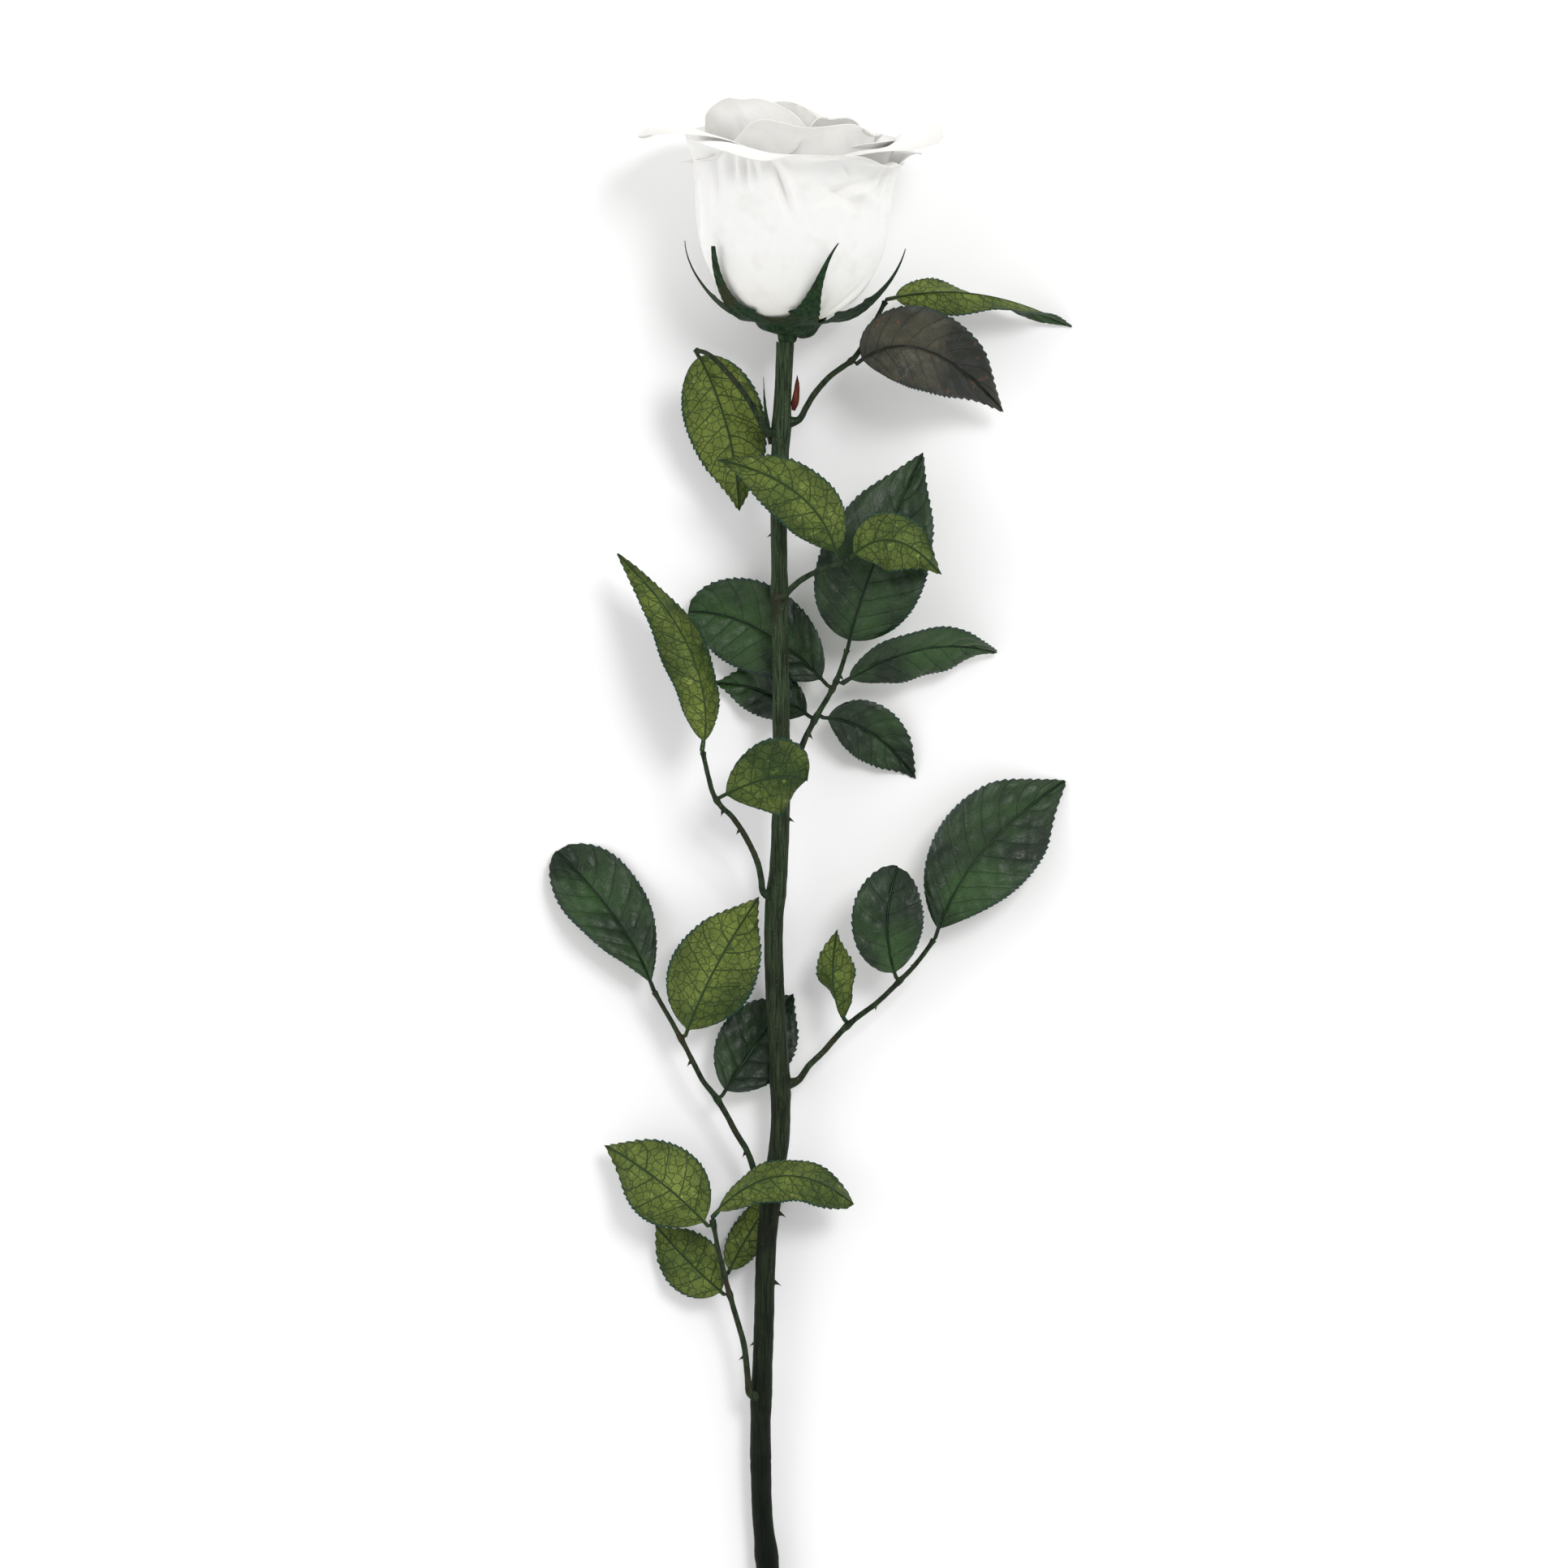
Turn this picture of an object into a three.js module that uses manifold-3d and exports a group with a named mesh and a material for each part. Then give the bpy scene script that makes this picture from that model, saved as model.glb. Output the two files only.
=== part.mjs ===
// A cut rose lying on its side: one white bloom, a pricked cane and eight leaves of toothed leaflets.
// Millimetres. Z is up from the surface it lies on, the bloom points toward +Y, +X is its right side.
import * as THREE from "three";
import { mergeVertices } from "three/addons/utils/BufferGeometryUtils.js";
import Module from "manifold-3d";

const wasm = await Module();
wasm.setup();
const { Manifold, Mesh } = wasm;

// ---- sizes -------------------------------------------------------------------------------------

const caneLength = 343; // from the calyx down to the cut
const caneDiameter = 5; // at mid length
const cutHeight = 3.1; // of the cane's centre line above the surface, at the cut
const cutSlant = 35; // degrees between the cut and a square one

const bellyRadius = 25; // of the widest part of the closed bloom
const bloomLength = 48; // calyx to lip, along the bloom's axis
const lipRadius = 34.6; // where the outermost petals turn out
const bloomTilt = 10; // degrees the mouth is raised from the surface
const bloomLean = 1.6; // degrees the bloom leans to its right
const petalCount = 18;
const innermostRadius = 7.9; // of the last petal at the bloom's widest
const petalStep = (bellyRadius - innermostRadius) / petalCount; // from one petal's outer face to the next one's
const clawRadius = 2.9; // of every petal's foot, around the core
const petalThickness = 0.4;
const petalTurn = 137.5; // degrees from one petal to the next

const sepalLength = 27;
const sepalHalfWidth = 4.4;
const sepalThickness = 0.6;

const leafScale = 1; // all leaf stalks and leaflets together
const bladeThickness = 0.6;
const bladeNeck = 0.05; // share of a leaflet's length that is its own short stalk
const stalkRadius = 1.05; // where a leaf stalk leaves the cane
const stalkTipRadius = 0.7; // where it meets its last leaflet

const gap = 0.3; // air left between pieces that meet
const coreClearance = 0.5; // between the foot of a petal and the core

// ---- colours -----------------------------------------------------------------------------------

const petalColour = "#f1f1ec";
const heartColour = "#eeeede";
const caneColour = "#2f3d2c";
const budColour = "#6b2a22";
const sepalColour = "#3f5233";
const leafDarkColour = "#3f553d";
const leafPaleColour = "#5c7040";

function surface(colour, roughness) {
  return new THREE.MeshStandardMaterial({ color: colour, roughness: roughness, metalness: 0 });
}

// ---- small helpers -----------------------------------------------------------------------------

const radians = THREE.MathUtils.degToRad;

function smooth(low, high, value) {
  return THREE.MathUtils.smoothstep(value, low, high);
}

// straight-line reading of a table of [place, value] rows
function readTable(table, place) {
  if (place <= table[0][0]) return table[0][1];
  for (let row = 1; row < table.length; row += 1) {
    const [before, low] = table[row - 1];
    const [after, high] = table[row];
    if (place <= after) return low + ((high - low) * (place - before)) / (after - before);
  }
  return table[table.length - 1][1];
}

// a closed skin from rows of points that go once round, with a flat cap at either end
function tubeSkin(rings) {
  const sides = rings[0].length;
  const points = rings.flat();
  const faces = [];
  for (let ring = 0; ring + 1 < rings.length; ring += 1) {
    for (let side = 0; side < sides; side += 1) {
      const here = ring * sides + side;
      const next = ring * sides + ((side + 1) % sides);
      faces.push(here, next, next + sides);
      faces.push(here, next + sides, here + sides);
    }
  }
  const last = (rings.length - 1) * sides;
  for (let side = 1; side + 1 < sides; side += 1) {
    faces.push(0, side + 1, side);
    faces.push(last, last + side, last + side + 1);
  }
  return skin(points, faces);
}

// a closed thin sheet from two matching grids of points, the upper face and the under face
function sheetSkin(upper, under) {
  const rows = upper.length;
  const columns = upper[0].length;
  const points = [...upper.flat(), ...under.flat()];
  const lower = rows * columns;
  const faces = [];
  for (let row = 0; row + 1 < rows; row += 1) {
    for (let column = 0; column + 1 < columns; column += 1) {
      const here = row * columns + column;
      faces.push(here, here + 1, here + columns + 1);
      faces.push(here, here + columns + 1, here + columns);
      faces.push(lower + here, lower + here + columns + 1, lower + here + 1);
      faces.push(lower + here, lower + here + columns, lower + here + columns + 1);
    }
  }
  const border = [];
  for (let column = 0; column + 1 < columns; column += 1) border.push(column);
  for (let row = 0; row + 1 < rows; row += 1) border.push(row * columns + columns - 1);
  for (let column = columns - 1; column > 0; column -= 1) border.push((rows - 1) * columns + column);
  for (let row = rows - 1; row > 0; row -= 1) border.push(row * columns);
  border.forEach((here, index) => {
    const next = border[(index + 1) % border.length];
    faces.push(here, lower + here, lower + next);
    faces.push(here, lower + next, next);
  });
  return skin(points, faces);
}

function skin(points, faces) {
  const geometry = new THREE.BufferGeometry();
  geometry.setAttribute("position", new THREE.Float32BufferAttribute(points.flatMap((point) => point.toArray()), 3));
  geometry.setIndex(faces);
  return geometry;
}

function toSolid(geometry) {
  const bare = new THREE.BufferGeometry();
  bare.setAttribute("position", geometry.getAttribute("position"));
  bare.setIndex(geometry.getIndex());
  const merged = mergeVertices(bare, 1e-4);
  const mesh = new Mesh({
    numProp: 3,
    vertProperties: new Float32Array(merged.getAttribute("position").array),
    triVerts: new Uint32Array(merged.getIndex().array),
  });
  return new Manifold(mesh);
}

// one body from several that overlap
function joined(geometries) {
  const whole = Manifold.union(geometries.map(toSolid)).simplify(0.01);
  const mesh = whole.getMesh();
  const geometry = new THREE.BufferGeometry();
  geometry.setAttribute("position", new THREE.BufferAttribute(new Float32Array(mesh.vertProperties), 3));
  geometry.setIndex(new THREE.BufferAttribute(new Uint32Array(mesh.triVerts), 1));
  return geometry;
}

// a ring of points square to a direction
function ringAround(centre, along, radius, sides) {
  const side = new THREE.Vector3().crossVectors(along, new THREE.Vector3(0, 0, 1)).normalize();
  const up = new THREE.Vector3().crossVectors(side, along).normalize();
  const ring = [];
  for (let step = 0; step < sides; step += 1) {
    const angle = (2 * Math.PI * step) / sides;
    const point = centre.clone();
    point.addScaledVector(side, -radius * Math.cos(angle));
    point.addScaledVector(up, radius * Math.sin(angle));
    ring.push(point);
  }
  return ring;
}

// a prickle: a six-sided cone that starts inside what it grows on and points out and back
function prickle(centre, out, back, radius, length) {
  const root = centre.clone().addScaledVector(out, radius * 0.5);
  const tip = centre.clone().addScaledVector(out, radius + length).addScaledVector(back, length * 0.6);
  const along = tip.clone().sub(root).normalize();
  return tubeSkin([ringAround(root, along, length * 0.42, 6), ringAround(tip, along, 0.08, 6)]);
}

// ---- bloom -------------------------------------------------------------------------------------

// the outermost petal face from base to lip: [share of the way, radius, height on the bloom's axis]
const shellTable = [
  [0, clawRadius, 1.7],
  [0.125, 0.391 * bellyRadius, 0.046 * bloomLength],
  [0.25, 0.658 * bellyRadius, 0.121 * bloomLength],
  [0.375, 0.848 * bellyRadius, 0.25 * bloomLength],
  [0.5, 0.963 * bellyRadius, 0.417 * bloomLength],
  [0.625, bellyRadius, 0.594 * bloomLength],
  [0.75, 1.037 * bellyRadius, 0.76 * bloomLength],
  [0.86, 0.66 * bellyRadius + 0.34 * lipRadius, 0.894 * bloomLength],
  [1, lipRadius, bloomLength],
];
// how far a petal one millimetre further in is drawn to the axis, and how far it is raised
const drawnIn = [[0, 0], [0.125, 0.35], [0.25, 0.75], [0.375, 0.95], [0.5, 1], [0.75, 1.05], [0.86, 1.15], [1, 1.43]];
const raised = [[0, 1], [0.125, 0.95], [0.25, 0.75], [0.375, 0.5], [0.5, 0.35], [0.625, 0.25], [0.75, 0.2], [1, 0.28]];

const shellRadius = shellTable.map(([share, radius]) => [share, radius]);
const shellHeight = shellTable.map(([share, , height]) => [share, height]);

// radius and height of a petal face at a depth inside the bloom
function shell(depth, share, azimuth) {
  const floorSide = Math.max(0, -Math.cos(azimuth)) ** 3;
  const lip = smooth(0.74, 1, share) * Math.max(0, 1 - depth / 16);
  const flare = lip * (1.2 * Math.abs(Math.sin(azimuth)) + 0.6 * Math.sin(azimuth) - 7 * floorSide);
  return {
    radius: readTable(shellRadius, share) - depth * readTable(drawnIn, share) + flare,
    height: readTable(shellHeight, share) + depth * readTable(raised, share) - lip * (2.4 * Math.abs(Math.sin(azimuth)) + 0.8 * Math.sin(azimuth)),
  };
}

const tilt = radians(bloomTilt);
const lean = radians(bloomLean);

// the bloom rests on its second petal, so its axis is as high as that petal reaches out below it
const restDepth = petalStep;
const axisHeight = Math.max(
  ...shellTable.map(([share]) => {
    const face = shell(restDepth, share, Math.PI);
    return face.radius * Math.cos(tilt) - face.height * Math.sin(tilt);
  }),
);
const calyx = new THREE.Vector3(1.1, 0, axisHeight);
const bloomAxis = new THREE.Vector3(Math.sin(lean), Math.cos(lean) * Math.cos(tilt), Math.cos(lean) * Math.sin(tilt));
const bloomRight = new THREE.Vector3(Math.cos(lean), -Math.sin(lean) * Math.cos(tilt), -Math.sin(lean) * Math.sin(tilt));
const bloomUp = new THREE.Vector3().crossVectors(bloomRight, bloomAxis);

// azimuth 0 faces up, a quarter turn on faces +X
function onBloom(radius, height, azimuth) {
  const point = calyx.clone();
  point.addScaledVector(bloomAxis, height);
  point.addScaledVector(bloomRight, radius * Math.sin(azimuth));
  point.addScaledVector(bloomUp, radius * Math.cos(azimuth));
  return point;
}

function petal(order) {
  const depth = order * petalStep;
  const centre = radians(5 + order * petalTurn);
  const halfAngle = radians(66 + 1.1 * order);
  const columns = 8;
  const shares = shellTable.map(([share]) => share);
  const outer = [];
  const inner = [];
  shares.forEach((level) => {
    const outerRow = [];
    const innerRow = [];
    for (let column = 0; column <= columns; column += 1) {
      const across = (2 * column) / columns - 1;
      const rim = 1 - 0.115 * Math.abs(across) ** 2.6;
      const share = Math.min(level, rim);
      const spread = halfAngle * (0.55 + 0.45 * smooth(0, 0.5, share)) * (1 - 0.1 * smooth(0.8, 1, share));
      const azimuth = centre + across * spread;
      const out = shell(depth, share, azimuth);
      const back = shell(depth + petalThickness, share, azimuth);
      outerRow.push(onBloom(out.radius, out.height, azimuth));
      innerRow.push(onBloom(back.radius, back.height, azimuth));
    }
    outer.push(outerRow);
    inner.push(innerRow);
  });
  return sheetSkin(outer, inner);
}

// the tight middle of the bloom, where the last petals are still rolled on one another
function petalHeart() {
  const last = (petalCount - 1) * petalStep + petalThickness;
  const room = shell(last, 0.75, 0).radius - 0.9;
  const bottom = shell(last, 0, 0).height + 2.4;
  const top = bloomLength + 2.4;
  const outline = [[0, 0], [0.5, 0.03], [0.8, 0.16], [0.94, 0.4], [1, 0.66], [0.92, 0.86], [0.62, 0.97], [0, 1]];
  const profile = outline.map(([out, up]) => new THREE.Vector2(out * room, bottom + up * (top - bottom)));
  return placedLathe(profile, 12);
}

// the swollen base, with the short core inside that the petals stand on
function receptacle() {
  const innermost = (petalCount - 1) * petalStep;
  const core = clawRadius - coreClearance;
  const top = innermost + 3.2;
  const outline = [
    [0, -3.6], [2.2, -3.6], [3.1, -2.8], [5.2, -1.7], [6.9, -0.3], [6.9, 0.5], [6.2, 0.9],
    [core + 0.1, 1.1], [core, top - 0.5], [0, top],
  ];
  return placedLathe(outline.map(([radius, height]) => new THREE.Vector2(radius, height)), 14);
}

function placedLathe(profile, sides) {
  const rings = profile.slice(1, -1).map((point) => {
    const ring = [];
    for (let side = 0; side < sides; side += 1) {
      ring.push(onBloom(point.x, point.y, (2 * Math.PI * side) / sides));
    }
    return ring;
  });
  const points = rings.flat();
  const bottom = points.length;
  points.push(onBloom(0, profile[0].y, 0));
  points.push(onBloom(0, profile[profile.length - 1].y, 0));
  const faces = [];
  for (let side = 0; side < sides; side += 1) {
    const next = (side + 1) % sides;
    faces.push(bottom, next, side);
    const last = (rings.length - 1) * sides;
    faces.push(bottom + 1, last + side, last + next);
    for (let ring = 0; ring + 1 < rings.length; ring += 1) {
      const here = ring * sides;
      faces.push(here + side, here + next + sides, here + side + sides);
      faces.push(here + side, here + next, here + next + sides);
    }
  }
  return skin(points, faces);
}

// each sepal: where it grows, how long it is, and how far its tip stands off the petals
const sepals = [
  { azimuth: -112, length: 1, standOff: 3.2 },
  { azimuth: -47, length: 0.86, standOff: 1.2 },
  { azimuth: 21, length: 1, standOff: 3.4 },
  { azimuth: 92, length: 1, standOff: 4.4 },
  { azimuth: 146, length: 0.8, standOff: 0.4 },
];

function sepal(shape) {
  const rows = 7;
  const start = 0.1;
  const reach = ((sepalLength * shape.length) / 61) * (48 / bloomLength);
  const face = [];
  const back = [];
  for (let row = 0; row <= rows; row += 1) {
    const along = row / rows;
    const share = start + reach * along;
    const width = Math.max(0.35, sepalHalfWidth * (0.72 + 0.9 * along) * (1 - along) ** 0.8);
    const off = 1.15 + shape.standOff * along ** 2;
    const faceRow = [];
    const backRow = [];
    for (let column = 0; column <= 4; column += 1) {
      const across = column / 2 - 1;
      const near = shell(0, share, 0);
      const azimuth = radians(shape.azimuth) + (across * width) / Math.max(near.radius, 6);
      const out = shell(-off - sepalThickness, share, azimuth);
      const inside = shell(-off, share, azimuth);
      faceRow.push(onBloom(out.radius, out.height, azimuth));
      backRow.push(onBloom(inside.radius, inside.height, azimuth));
    }
    face.push(faceRow);
    back.push(backRow);
  }
  return sheetSkin(face, back);
}

// ---- cane --------------------------------------------------------------------------------------

// sideways wander of the centre line, [share of the length, millimetres toward +X]
const caneWander = [
  [0, 0.6], [0.03, 0.2], [0.07, -0.4], [0.1, -0.9], [0.19, -0.9], [0.28, -0.5], [0.35, -0.6], [0.39, -1.2], [0.42, -2.2],
  [0.48, -2], [0.53, -0.9], [0.58, -0.8], [0.61, -2.2], [0.65, -3.9], [0.72, -4.8], [0.8, -5.6], [0.86, -5], [0.9, -3.6],
  [0.95, -2.6], [1, -2.2],
];
// thickness between the joints, as a share of the cane's diameter
const caneTaper = [[0, 0.9], [0.03, 0.84], [0.1, 0.86], [0.16, 0.79], [0.27, 0.85], [0.42, 0.92], [0.6, 0.97], [0.8, 1], [1, 1.04]];
// joints where leaves grow or grew, [share of the length, swelling]
const caneJoints = [
  [0.072, 0.14], [0.194, 0.12], [0.321, 0.1], [0.407, 0.1], [0.543, 0.1], [0.624, 0.08], [0.768, 0.12], [0.812, 0.06], [0.886, 0.17],
];
// [share of the length, degrees round the cane from +X over the top, length of the prickle]
const canePrickles = [[0.148, 200, 1.8], [0.252, 330, 1.6], [0.352, 15, 1.9], [0.47, 250, 2], [0.636, 10, 2.2], [0.686, 5, 2], [0.73, 215, 2.4], [0.852, 300, 2.4]];

function caneCentre(share) {
  const height = axisHeight - 0.3 + (cutHeight - axisHeight + 0.3) * share;
  return new THREE.Vector3(readTable(caneWander, share), -share * caneLength, height);
}

function caneRadius(share) {
  const swelling = caneJoints.reduce((sum, [place, swell]) => sum + swell * Math.exp(-(((share - place) / 0.011) ** 2)), 0);
  return (caneDiameter / 2) * (readTable(caneTaper, share) + swelling);
}

function cane() {
  const top = 4.3 / caneLength;
  const stations = [top, 1];
  for (let share = 0.04; share < 0.98; share += 0.045) stations.push(share);
  caneJoints.forEach(([place]) => stations.push(place - 0.014, place, place + 0.014));
  stations.sort((first, second) => first - second);
  const kept = stations.filter((share, index) => index === 0 || share === 1 || share - stations[index - 1] > 0.006);
  const rings = kept.map((share) => {
    const ahead = caneCentre(share + 0.004).sub(caneCentre(share - 0.004)).normalize();
    const ring = ringAround(caneCentre(share), ahead, caneRadius(share), 10);
    if (share === 1) {
      ring.forEach((point) => {
        point.y -= (point.z - cutHeight) * Math.tan(radians(cutSlant));
      });
    }
    return ring;
  });
  const bodies = [tubeSkin(rings)];
  canePrickles.forEach(([share, round, length]) => {
    const out = new THREE.Vector3(Math.cos(radians(round)), 0, Math.sin(radians(round)));
    bodies.push(prickle(caneCentre(share), out, new THREE.Vector3(0, -1, 0), caneRadius(share), length));
  });
  return joined(bodies);
}

// ---- leaves ------------------------------------------------------------------------------------

// Every leaf leaves the cane at a joint, at an angle round it measured from +X over the top. Its stalk is
// a line of steps from there. Each leaflet sits at a share of the stalk and is given by the way to its
// bend and to its tip from its own base; half is half its width, roll turns it about its midrib, pale
// ones show their underside and resting ones end on the surface.
const leaves = [
  {
    name: "leaf_a", joint: 0.0685, round: 0,
    stalk: [[1.6, 2.5, 0.5], [4, 6.5, 2], [8.6, 11.5, 4], [13.6, 15, 5.2], [16.6, 19.5, 4.4], [19.6, 25.5, 3.8], [21.6, 29.3, 3.6]],
    prickles: [],
    leaflets: [
      { at: 0.56, bend: [16.6, 3, 4], tip: [36.4, -10.6, -15], half: 10, roll: 0 },
      { at: 1, bend: [23, 3.7, 0], tip: [46.4, -5, 0], half: 7, roll: -60, pale: true, rests: true },
    ],
  },
  {
    name: "leaf_b", joint: 0.076, round: 160,
    stalk: [[-5, 8.7, 3.8], [-11, 15.7, 7.8], [-14.2, 18.6, 8.4], [-17, 19.6, 5.8]],
    prickles: [[0.4, 60]],
    leaflets: [{ at: 1, bend: [7.6, -18, -8], tip: [10.6, -38.5, -12], half: 9.8, roll: 0, pale: true }],
  },
  {
    name: "leaf_c", joint: 0.194, round: 80,
    stalk: [[4.2, 3.9, 2.5], [9.2, 6.5, 5.5], [14.2, 8.1, 8.3], [16.2, 9.1, 9]],
    prickles: [[0.5, 280]],
    leaflets: [
      { at: 0.88, bend: [-9.4, 15.2, 2], tip: [-29, 24, -2], half: 7.8, roll: 10, pale: true },
      { at: 1, bend: [10.4, 4, 2], tip: [22, -3.8, -4], half: 7.6, roll: -10, pale: true },
    ],
  },
  {
    name: "leaf_d", joint: 0.321, round: 10,
    stalk: [[1.4, 7, -1.2], [4.2, 13, -2.2], [9.8, 23, -3], [12.6, 31, -2.2]],
    prickles: [[0.32, 0], [0.8, 330]],
    leaflets: [
      { at: 1, bend: [6.6, 21, 4], tip: [18.6, 48, -2], half: 13.4, roll: 0 },
      { at: 0.76, bend: [20, 8.4, 1], tip: [38.6, 7.8, -9], half: 7.6, roll: 42 },
      { at: 0.7, bend: [-17, 14, -5], tip: [-34.4, 18.4, -7], half: 11, roll: 0 },
      { at: 0.44, bend: [-11, 6.2, -6.5], tip: [-23.4, 8.4, -8.5], half: 6.2, roll: 0 },
      { at: 0.48, bend: [12.4, -4, -3], tip: [23, -15, 0], half: 7.2, roll: 0, rests: true },
    ],
  },
  {
    name: "leaf_e", joint: 0.407, round: 140,
    stalk: [[-1.7, 8.6, 2.3], [-7.1, 18.6, 6.3], [-11.7, 23.6, 8.3], [-14.1, 31.6, 7.3], [-14.9, 35.1, 6.6]],
    prickles: [[0.45, 200], [0.62, 180]],
    leaflets: [
      { at: 1, bend: [-3.2, 24.2, -1], tip: [-21, 48, -6], half: 7.6, roll: 42, pale: true },
      { at: 0.7, bend: [12, 4.6, 2], tip: [20.4, 4, -3], half: 9.6, roll: 0, pale: true },
    ],
  },
  {
    name: "leaf_f", joint: 0.543, round: 0,
    stalk: [[2, 3.2, 0.2], [6, 7.2, 0.7], [13, 14.8, 1.7], [20, 20.2, 2.3], [25.6, 25.6, 2.5], [30, 30.2, 2.5], [34, 35.7, 2.3]],
    prickles: [[0.24, 300], [0.56, 320], [0.84, 120]],
    leaflets: [
      { at: 1, bend: [11.6, 20.8, 1], tip: [32.6, 38.6, 0], half: 12.6, roll: 0, rests: true },
      { at: 0.735, bend: [-2.2, 13.2, 4.5], tip: [0.4, 27, 1], half: 8.8, roll: 0 },
      { at: 0.4, bend: [-2.6, 10, 3], tip: [-1.8, 22, 0], half: 5.6, roll: -50, pale: true },
    ],
  },
  {
    name: "leaf_g", joint: 0.624, round: 180,
    stalk: [[-1, 8.6, 0.3], [-5, 16, 0.9], [-9.4, 24, 1.5], [-12, 27, 1.7], [-18.4, 39, 2.1], [-25, 50.6, 1.5]],
    prickles: [[0.2, 160], [0.66, 170]],
    leaflets: [
      { at: 1, bend: [-9, 16.8, -1.5], tip: [-24.2, 34, 0], half: 10, roll: 18, rests: true },
      { at: 0.77, bend: [7.4, 16.8, 5.5], tip: [18, 34, -2], half: 10.8, roll: 0, pale: true },
      { at: 0.46, bend: [8.8, 13, -6], tip: [17.6, 24.6, -7], half: 9.6, roll: 0 },
    ],
  },
  {
    name: "leaf_h", joint: 0.768, round: 135,
    stalk: [[-0.8, 7, 0.2], [-1.4, 12.4, 0.2], [-3.6, 20.4, 0.6], [-5.6, 27.4, 1.2], [-7.6, 35.4, 1.8], [-9.2, 43.9, 2.4]],
    prickles: [[0.22, 190]],
    leaflets: [
      { at: 0.97, bend: [-11.6, 11, 2.5], tip: [-25.2, 19.4, -6], half: 10, roll: 0, pale: true },
      { at: 0.58, bend: [-9, 8, -3], tip: [-17, 16.4, -7], half: 7.4, roll: 0, pale: true },
      { at: 1, bend: [17, 10.4, 6], tip: [34.6, 3.4, 2], half: 5.6, roll: -40, pale: true },
      { at: 0.69, bend: [5.4, 9.6, -7], tip: [12.8, 20.4, -8], half: 4.4, roll: 0, pale: true },
    ],
  },
];

function step(offset) {
  return new THREE.Vector3(...offset).multiplyScalar(leafScale);
}

function stalkCurve(leaf) {
  const reach = caneRadius(leaf.joint) + stalkRadius + gap;
  const start = caneCentre(leaf.joint);
  start.x += reach * Math.cos(radians(leaf.round));
  start.z += reach * Math.sin(radians(leaf.round));
  return new THREE.CatmullRomCurve3([start, ...leaf.stalk.map((offset) => start.clone().add(step(offset)))]);
}

function leafStalk(leaf) {
  const curve = stalkCurve(leaf);
  const pieces = 9;
  const rings = [];
  for (let piece = 0; piece <= pieces; piece += 1) {
    const share = piece / pieces;
    const radius = THREE.MathUtils.lerp(stalkRadius, stalkTipRadius, share);
    rings.push(ringAround(curve.getPointAt(share), curve.getTangentAt(share), radius, 6));
  }
  const bodies = [tubeSkin(rings)];
  leaf.prickles.forEach(([share, round]) => {
    const along = curve.getTangentAt(share);
    const side = new THREE.Vector3().crossVectors(along, new THREE.Vector3(0, 0, 1)).normalize();
    const up = new THREE.Vector3().crossVectors(side, along);
    const out = side.multiplyScalar(Math.cos(radians(round))).addScaledVector(up, Math.sin(radians(round)));
    bodies.push(prickle(curve.getPointAt(share), out, along.clone().negate(), stalkTipRadius, 1.5));
  });
  return joined(bodies);
}

// half width of a leaflet along its midrib: oval, widest before the middle, drawn out to a point
function bladeWidth(share) {
  const along = Math.max(0, (share - bladeNeck) / (1 - bladeNeck));
  return 2.72 * along ** 0.62 * (1 - along) ** 0.85;
}

function leaflet(leaf, shape) {
  const curve = stalkCurve(leaf);
  const stalkPoint = curve.getPointAt(shape.at);
  const stalkAlong = curve.getTangentAt(shape.at);
  const base = stalkPoint.clone();
  if (shape.at === 1) {
    base.addScaledVector(stalkAlong, gap + 0.3);
  } else {
    const away = step(shape.bend).projectOnPlane(stalkAlong).normalize();
    base.addScaledVector(away, THREE.MathUtils.lerp(stalkRadius, stalkTipRadius, shape.at) + gap + 0.4);
  }
  const bend = base.clone().add(step(shape.bend));
  const tip = base.clone().add(step(shape.tip));
  if (shape.rests) {
    tip.z = bladeThickness / 2 + 0.1;
    bend.z = base.z * 0.62 + step(shape.bend).z;
  }
  const turn = bend.clone().multiplyScalar(2).addScaledVector(base, -0.5).addScaledVector(tip, -0.5);
  const midrib = new THREE.QuadraticBezierCurve3(base, turn, tip);
  const fold = radians(shape.pale ? -14 : 12);
  const upper = [];
  const under = [];
  [0, bladeNeck, 0.13, 0.27, 0.45, 0.66, 0.85, 1].forEach((share) => {
    const centre = midrib.getPoint(share);
    const along = midrib.getTangent(share);
    const flat = new THREE.Vector3().crossVectors(along, new THREE.Vector3(0, 0, 1)).normalize();
    flat.applyAxisAngle(along, radians(shape.roll));
    const normal = new THREE.Vector3().crossVectors(flat, along);
    const width = Math.max(share < 0.5 ? 0.45 : 0.25, shape.half * leafScale * bladeWidth(share));
    const upperRow = [];
    const underRow = [];
    for (let column = 0; column <= 4; column += 1) {
      const across = column / 2 - 1;
      const point = centre.clone();
      point.addScaledVector(flat, width * across * Math.cos(fold));
      point.addScaledVector(normal, width * Math.abs(across) * Math.sin(fold));
      upperRow.push(point.clone().addScaledVector(normal, bladeThickness / 2));
      underRow.push(point.clone().addScaledVector(normal, -bladeThickness / 2));
    }
    upper.push(upperRow);
    under.push(underRow);
  });
  return sheetSkin(upper, under);
}

// a slim pointed body: the bud in the upper leaf's axil and the scale leaf opposite it
function spindle(from, to, radius, sides) {
  const along = to.clone().sub(from).normalize();
  const rings = [[0, 0.45], [0.25, 1], [0.55, 0.8], [1, 0.12]].map(([share, width]) =>
    ringAround(from.clone().lerp(to, share), along, radius * width, sides),
  );
  return tubeSkin(rings);
}

function besideCane(share, round, clear) {
  const point = caneCentre(share);
  const reach = caneRadius(share) + clear;
  point.x += reach * Math.cos(radians(round));
  point.z += reach * Math.sin(radians(round));
  return point;
}

// ---- assembly ----------------------------------------------------------------------------------

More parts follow.
